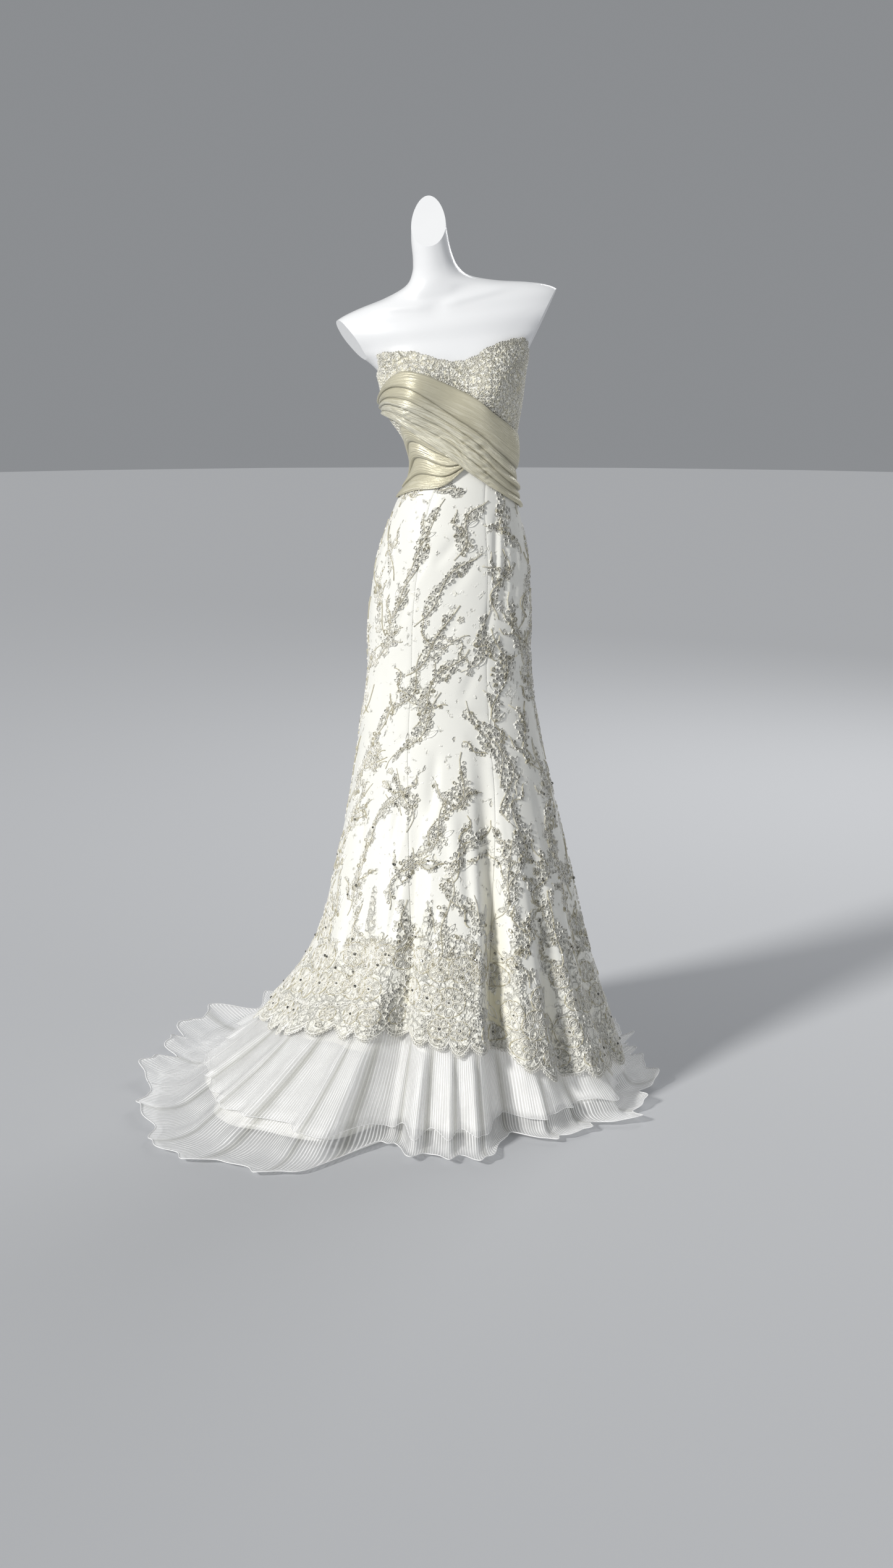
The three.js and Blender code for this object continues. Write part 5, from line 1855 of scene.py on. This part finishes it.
@dataclass
class Flounces:
    """Two layers of pleated organza below the lace, each with a rolled edge."""

    finish: Material
    inner_finish: Material
    edge_finish: Material
    radius: float = 300.0
    pleats: int = 560
    sewn_above: float = 74.0
    floor: float = 1.2
    roll_sides: int = 5

    def ripple(self, angle: Array) -> Array:
        """The ruffles: (0.65 + 0.35 sin(5 t + 2)) sin(29 t + 2.2 sin(3 t + 0.8) + 1.2 sin(7 t)).

        Args:
            angle: degrees.

        Returns:
            Waves between -1 and 1.
        """
        t = np.radians(angle)
        wave = np.sin(29 * t + 2.2 * np.sin(3 * t + 0.8) + 1.2 * np.sin(7 * t))
        return wave * (0.65 + 0.35 * np.sin(5 * t + 2))

    def flutter(self, angle: Array) -> Array:
        """Finer, uneven ruffles: two quick waves, each faded by a slow one.

        Args:
            angle: degrees.

        Returns:
            Waves between -1.25 and 1.25.
        """
        t = np.radians(angle)
        one = np.sin(61 * t + 2 * np.sin(4 * t)) * (0.55 + 0.45 * np.sin(7 * t + 1))
        two = np.sin(97 * t + 1.5 * np.sin(6 * t)) * (0.5 + 0.5 * np.sin(5 * t + 4))
        return one + 0.25 * two

    def drape(self, angle: Array) -> Array:
        """The deep folds of the fall: the sum of depth x exp(-x^2), where x is the angle from the
        fold's middle over its half width, twice as quick on the steep right side.

        Args:
            angle: degrees.

        Returns:
            Distances outwards, in millimetres.
        """
        total = np.zeros(angle.shape)
        for middle, half, deep in DRAPES:
            x = wrap(angle - middle) / half
            total += deep * np.exp(-np.where(x > 0, 1.7 * x, x / 1.2) ** 2)
        return total

    def shadow(self, angle: Array, z: Array) -> Array:
        """How dark the cloth is at the foot of a fold's steep side, from 0 to 1.

        Args:
            angle: degrees.
            z: heights.

        Returns:
            Shares.
        """
        lines = sum(np.exp(-((wrap(angle - middle) / half - 1.0) / 0.34) ** 2)
                    for middle, half, _ in DRAPES)
        return np.clip(lines, 0, 1) * smooth((hem(angle)[1] + 10 - z) / 50)

    def point(self, angle: Array, z: Array, inset: Array, lip: Array) -> Array:
        """A point of a flounce: the cloth's line moved in by the inset, waved by the ruffles and
        the folds, then carried out over the floor along the lip, whose edge stands up.

        Args:
            angle: degrees.
            z: height on the fall.
            inset: distance inside the skirt's line.
            lip: share of the lip, from 0 on the fall to 1 at the edge.

        Returns:
            Points.
        """
        _, lace, lip_width, lift = hem(angle)
        wave, fine = self.ripple(angle), self.flutter(angle)
        low = smooth(1 - z / lace)
        gathers = mix(1, 12, low) * smooth((lace + self.sewn_above - z) / 40)
        fold = self.drape(angle) * smooth((lace - z) / 60)
        p = LINE.point(angle, z, -inset + 10 * low + wave * gathers + 3.5 * low * fine + fold)
        t = np.radians(angle)
        reach = lip * (10 + lip_width * (1 + 0.12 * wave + 0.05 * fine))
        p[..., 0] += np.sin(t) * reach
        p[..., 1] -= np.cos(t) * reach
        p[..., 2] += lip ** 1.5 * lift * (0.75 + 0.35 * wave + 0.07 * fine)
        p[..., 2] = np.maximum(p[..., 2], self.floor)
        return p

    def lower(self, angle: Array, share: Array) -> Array:
        """The lower flounce at a share of its fall.

        Args:
            angle: degrees.
            share: share of the fall, from 0 at the edge to 1 at the seam.

        Returns:
            Points.
        """
        lip, z = Curves(FALL)(share)
        inset = mix(22, 17, smooth((share - 0.7) / 0.3))
        return self.point(angle, np.maximum(2, z), inset, np.clip(lip, 0, 1))

    def upper(self, angle: Array, share: Array) -> Array:
        """The upper flounce, which ends a little above the floor.

        Args:
            angle: degrees.
            share: share of the fall, from 0 at the edge to 1 at the seam.

        Returns:
            Points.
        """
        _, lace, lip_width, _ = hem(angle)
        foot = 16 + 0.62 * lip_width + 5 * self.ripple(angle + 4)
        z = mix(foot, lace + self.sewn_above, share)
        inset = mix(14, 8, smooth((share - 0.6) / 0.4))
        return self.point(angle, z, inset, 0.14 * (1 - share) ** 4)

    def rolled_edge(self, name: str, surface: Surface, angles: Array, radius: float) -> None:
        """A thin stitched roll along a flounce's lower edge: five points round each point of the
        edge, in the plane across it.

        Args:
            name: the piece's name.
            surface: the flounce.
            angles: angles of the edge's points.
            radius: its radius.
        """
        line = surface(angles, np.zeros(angles.shape))
        along = unit(np.gradient(line, axis=0))
        up = unit(surface(angles, np.full(angles.shape, 0.03)) - line)
        side = unit(np.cross(along, up))
        sides, n = self.roll_sides, len(angles)
        t = np.arange(sides) * TURN / sides
        ring = np.cos(t)[:, None, None] * side + np.sin(t)[:, None, None] * up
        points = np.maximum(line + radius * ring, [-np.inf, -np.inf, self.floor / 2])
        faces = grid_faces(sides + 1, n) % (sides * n)
        caps = [list(range(0, sides * n, n)), list(range(n - 1, sides * n, n))[::-1]]
        obj = make_mesh(name, points, faces.tolist() + caps, tone=np.ones(sides * n))
        merge(obj, True)
        dress(obj, self.edge_finish)

    def build(self) -> None:
        """Makes the panels of both layers and their rolled edges, with U in pleats."""
        gap = half_gap(self.radius)
        for layer, surface, rows, roll in (("flounce_upper", self.upper, 15, 0.6),
                                           ("flounce_lower", self.lower, 24, 0.95)):
            for part, start, end in THIRDS:
                node = f"{layer}_{part}"
                angles = np.linspace(start + gap, end - gap, round((end - start) / 0.5) + 1)
                angle, share = np.meshgrid(angles, np.linspace(0, 1, rows))
                points = surface(angle, share)
                cloth = Cloth(node, "organza", Slot.ORGANZA, Hold.GATHERED, "skirt_front_cloth",
                              0.6, 1.25)
                piece = cloth.make(points, self.finish,
                                   uv=np.stack([angle / 360 * self.pleats, share * 0.2], -1),
                                   valley_shade=self.shadow(angle, points[..., 2]))
                piece.data.materials.append(self.inner_finish)
                piece.modifiers["Thickness"].material_offset = 1
                self.rolled_edge(node + "_edge", surface, angles, roll)


@dataclass
class Underskirt:
    """The satin lining that shows through the organza."""

    finish: Material
    inset: float = 30.0
    hem_height: float = 28.0
    above: float = 30.0
    columns: int = 300
    rows: int = 18

    def build(self) -> None:
        """Makes the ring: z = mix of 28 and 30 above the lace hem, 30 inside the skirt, with soft
        uneven folds that grow towards the floor."""
        angle, share = np.meshgrid(np.arange(self.columns) * 360 / self.columns,
                                   np.linspace(0, 1, self.rows))
        z = mix(self.hem_height, hem(angle)[1] + self.above, share)
        t = np.radians(angle)
        fold = 2.2 * np.sin(23 * t + 1.4 * np.sin(2 * t)) + 1.2 * np.sin(41 * t + 2 * np.sin(3 * t))
        points = LINE.point(angle, z, -self.inset + fold * (1 - share) ** 0.8)
        cloth = Cloth("underskirt", "satin", Slot.LINING, Hold.HUNG, "skirt_front_cloth")
        cloth.make(points, self.finish, ring=True)


@dataclass
class Closure:
    """Satin-covered buttons down the centre back."""

    finish: Material
    radius: float = 5.5
    height: float = 4.4
    seat: float = 0.5
    beside: float = 6.5
    pitch: float = 22.0
    # stem of the names, height of the uppermost one, how many
    rows: tuple = (("button_bodice_", 1338, 4), ("button_skirt_", 1122, 3))

    def build(self) -> None:
        """Makes each button: a flat-backed dome with a rim, turned about the cloth's normal."""
        r, h = self.radius, self.height
        profile = [(0, 0), (0.7 * r, 0), (0.94 * r, 0.25), (r, 0.7), (r, 1.1), (0.96 * r, 1.6),
                   (0.86 * r, 2.6), (0.66 * r, 3.5), (0.4 * r, 4.1), (0.16 * r, h - 0.06), (0, h)]
        for stem, top, count in self.rows:
            for i in range(count):
                z = top - i * self.pitch
                angle = 180 - self.beside / float(section(np.array(float(z)))[2]) * RADIAN
                p = LINE.point(angle + np.array([0, 1, -1, 0, 0]), z + np.array([0, 0, 0, 2, -2]))
                out = unit(np.cross(p[1] - p[2], p[3] - p[4]))
                right = unit(np.cross([0, 0, 1.0], out))
                up = np.cross(out, right)
                base = p[0] + out * self.seat

                def place(points: Array) -> Array:
                    """Turns the points from the upright axis to the cloth's normal."""
                    x, y, w = np.moveaxis(points, -1, 0)[..., None]
                    return base + x * right + y * up + w * out

                name = f"{stem}{i + 1}"
                button = turned(name + "_cover", profile, 24, place)
                dress(button, self.finish, name)


# The form and its stand

@dataclass
class DressForm:
    """The white form: smooth rings inside the cloth's line, cut flat at the arms and the neck."""

    finish: Material
    columns: int = 96
    neck_x: float = -14.0
    # lowest and highest ring of each stretch, and how many rings it has
    rings: tuple = ((790, 1090, 34), (1098, 1440, 60), (1444, 1580, 56), (1586, 1728, 26))
    # a point of each cut and the way it faces
    cuts: tuple = (
        ((-204, 0, 1470), (-0.8, -0.3, -0.52)), ((176, 0, 1496), (0.9, -0.1, -0.42)),
        ((-43, -4, 1658), (-0.12, -0.78, 0.62)), ((0, 0, 800.0), (0, 0, -1)),
    )

    def inset(self, z: Array) -> Array:
        """How far the form lies inside the cloth's line, 0 where it is bare."""
        ease = mix(0.4, 4.4, smooth(np.abs(z - WAIST) / 24))
        return (1.6 + ease) * (1 - smooth((z - 1440) / 40))

    def modelling(self, angle: Array, z: Array) -> Array:
        """Soft relief of the chest: two slanting collar bones and the hollow between them.

        Args:
            angle: degrees.
            z: heights.

        Returns:
            Distances outwards, in millimetres.
        """
        x = section(z)[2] * np.sin(np.radians(angle))
        front = smooth(np.cos(np.radians(angle)) / 0.4)
        aside = np.abs(x - self.neck_x)
        bone = 1507 + 0.1 * aside
        ridge = 2.6 * np.exp(-((z - bone) / 8) ** 2) * smooth((aside - 10) / 20)
        hollow = 2.4 * np.exp(-((x - self.neck_x + 2) / 15) ** 2 - ((z - 1500) / 13) ** 2)
        dip = 1.8 * np.exp(-((z - bone - 19) / 9) ** 2) * smooth((aside - 24) / 24)
        return front * (ridge * smooth((150 - np.abs(x)) / 60) - hollow - dip)

    def build(self) -> None:
        """Makes the rings from 790 to 1728, cuts them by the planes and closes each cut."""
        z = np.concatenate([np.linspace(*stretch) for stretch in self.rings])
        angle, height = np.meshgrid(np.arange(self.columns) * 360 / self.columns, z)
        points = LINE.point(angle, height, self.modelling(angle, height) - self.inset(height))
        obj = make_mesh("form_shell", points, grid_faces(len(z), self.columns, True))
        bm = bmesh.new()
        bm.from_mesh(obj.data)
        for at, facing in self.cuts:
            found = bmesh.ops.bisect_plane(
                bm, geom=bm.verts[:] + bm.edges[:] + bm.faces[:], dist=1e-6,
                plane_co=Vector(at) * MM, plane_no=Vector(facing), clear_outer=True)
            edges = [e for e in found["geom_cut"] if isinstance(e, bmesh.types.BMEdge)]
            filled = bmesh.ops.triangle_fill(bm, edges=edges, use_beauty=True,
                                             normal=Vector(facing))
            for e in edges:
                e.smooth = False
            for f in filled["geom"]:
                if isinstance(f, bmesh.types.BMFace):
                    f.smooth = True
        bmesh.ops.recalc_face_normals(bm, faces=bm.faces)
        bm.to_mesh(obj.data)
        bm.free()
        dress(obj, self.finish, "form_torso")


@dataclass
class Stand:
    """A round base plate, a collar and a pole, hidden by the skirt."""

    finish: Material
    # piece, sides round, (radius, height) of its profile
    pieces: tuple = (
        ("base", 96, ((0, 0), (173.5, 0), (175, 1.5), (175, 7), (174.1, 8.7), (172, 10),
                      (170, 10), (0, 10))),
        ("collar", 64, ((16.3, 10.3), (27, 10.3), (28, 11.3), (28, 40), (27.2, 42.6), (24, 44),
                        (17, 44), (16.3, 43.3), (16.3, 10.3))),
        ("pole", 48, ((0, 10.3), (15.4, 10.3), (16, 10.9), (16, 799.1), (15.4, 799.7),
                      (0, 799.7))),
    )
    sharp_from: float = 0.6

    def build(self) -> None:
        """Turns the three pieces from their profiles, with small rounded edges."""
        for name, sides, profile in self.pieces:
            obj = turned("stand_" + name + "_steel", profile, sides)
            dress(obj, self.finish, "stand_" + name)
            obj.data.set_sharp_from_angle(angle=self.sharp_from)


# The studio

@dataclass(frozen=True)
class Lamp:
    """One soft light: a square one in watts and metres, or a far one as broad as its angle."""

    name: str
    at: tuple[float, float, float]
    aim: tuple[float, float, float]
    size: float
    power: float
    colour: Colour = (1.0, 1.0, 1.0)
    far: bool = False

    def build(self) -> None:
        """Makes the light and aims it."""
        data = bpy.data.lights.new(self.name, "SUN" if self.far else "AREA")
        data.energy, data.color = self.power, self.colour
        setattr(data, "angle" if self.far else "size", self.size)
        obj = bpy.data.objects.new(self.name, data)
        obj.location = self.at
        facing = Vector(self.aim) - Vector(self.at)
        obj.rotation_euler = facing.to_track_quat("-Z", "Y").to_euler()
        bpy.context.scene.collection.objects.link(obj)


@dataclass(frozen=True)
class Studio:
    """The camera at the photograph's place, a plain pale floor and soft lights."""

    lens: float = 53.99
    at: tuple[float, float, float] = (-0.0085, -4.452, 1.590)
    tilt: float = 77.4
    floor_radius: float = 14000.0
    lamps: tuple[Lamp, ...] = (
        Lamp("key", (-3.2, -2.9, 3.3), (0, 0, 0.85), 0.16, 2.8, (1.0, 0.99, 0.965), True),
        Lamp("fill", (3.4, -2.6, 1.6), (0, 0, 0.8), 2.4, 14.0),
        Lamp("back", (1.8, 3.2, 2.9), (0, 0, 0.8), 2.0, 50.0),
    )

    def camera(self) -> None:
        """Makes the camera and gives it to the scene."""
        data = bpy.data.cameras.new("view")
        data.lens, data.sensor_width, data.sensor_fit = self.lens, 36.0, "AUTO"
        data.clip_end = 100.0
        obj = bpy.data.objects.new("view", data)
        obj.location = self.at
        obj.rotation_euler = (np.radians(self.tilt), 0.0, 0.0)
        bpy.context.scene.collection.objects.link(obj)
        bpy.context.scene.camera = obj

    def floor(self) -> None:
        """Makes the floor, a disc, and a plain grey surround."""
        t = np.arange(64) * TURN / 64
        rim = self.floor_radius * np.stack([np.cos(t), np.sin(t), 0 * t], -1)
        obj = make_mesh("floor", rim, [list(range(64))])
        material, _ = new_material("floor_plain", Base_Color=(0.55, 0.56, 0.58, 1), Roughness=0.8)
        obj.data.materials.append(material)
        world = bpy.data.worlds.new("surround")
        world.use_nodes = True
        background = world.node_tree.nodes["Background"].inputs
        background[0].default_value = (0.62, 0.64, 0.67, 1)
        background[1].default_value = 0.42
        bpy.context.scene.world = world
        bpy.context.scene.view_settings.view_transform = "Standard"

    def build(self) -> None:
        """Makes the camera first, then the lights and the floor."""
        self.camera()
        for lamp in self.lamps:
            lamp.build()
        self.floor()


def main() -> None:
    """Builds every sub-assembly in order."""
    logging.basicConfig(level=logging.INFO, format="%(name)s %(message)s")
    Studio().build()
    finish = {kind.name: kind.make() for kind in FINISHES}
    Stand(finish["stand_brushed_steel"]).build()
    DressForm(finish["form_gloss_white"]).build()
    sprays, rosettes = LacePlan().sprays(), LacePlan().rosettes()
    Skirt(finish["lace_over_satin"], sprays, rosettes).build()
    Edging(finish["lace_over_satin"]).build()
    Underskirt(finish["lining_satin"]).build()
    Flounces(finish["organza_pleated"], finish["organza_inner_face"],
             finish["flounce_edge_thread"]).build()
    Bodice(finish["bodice_lace_ground"]).build()
    sash = Sash(finish["sash_satin"])
    sash.build()
    Closure(finish["button_satin"]).build()
    Lace(finish["lace_cord"], finish["bodice_cord"], finish["crystal_smoke"], sprays, rosettes,
         sash).build()
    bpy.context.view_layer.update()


if __name__ == "__main__":
    main()
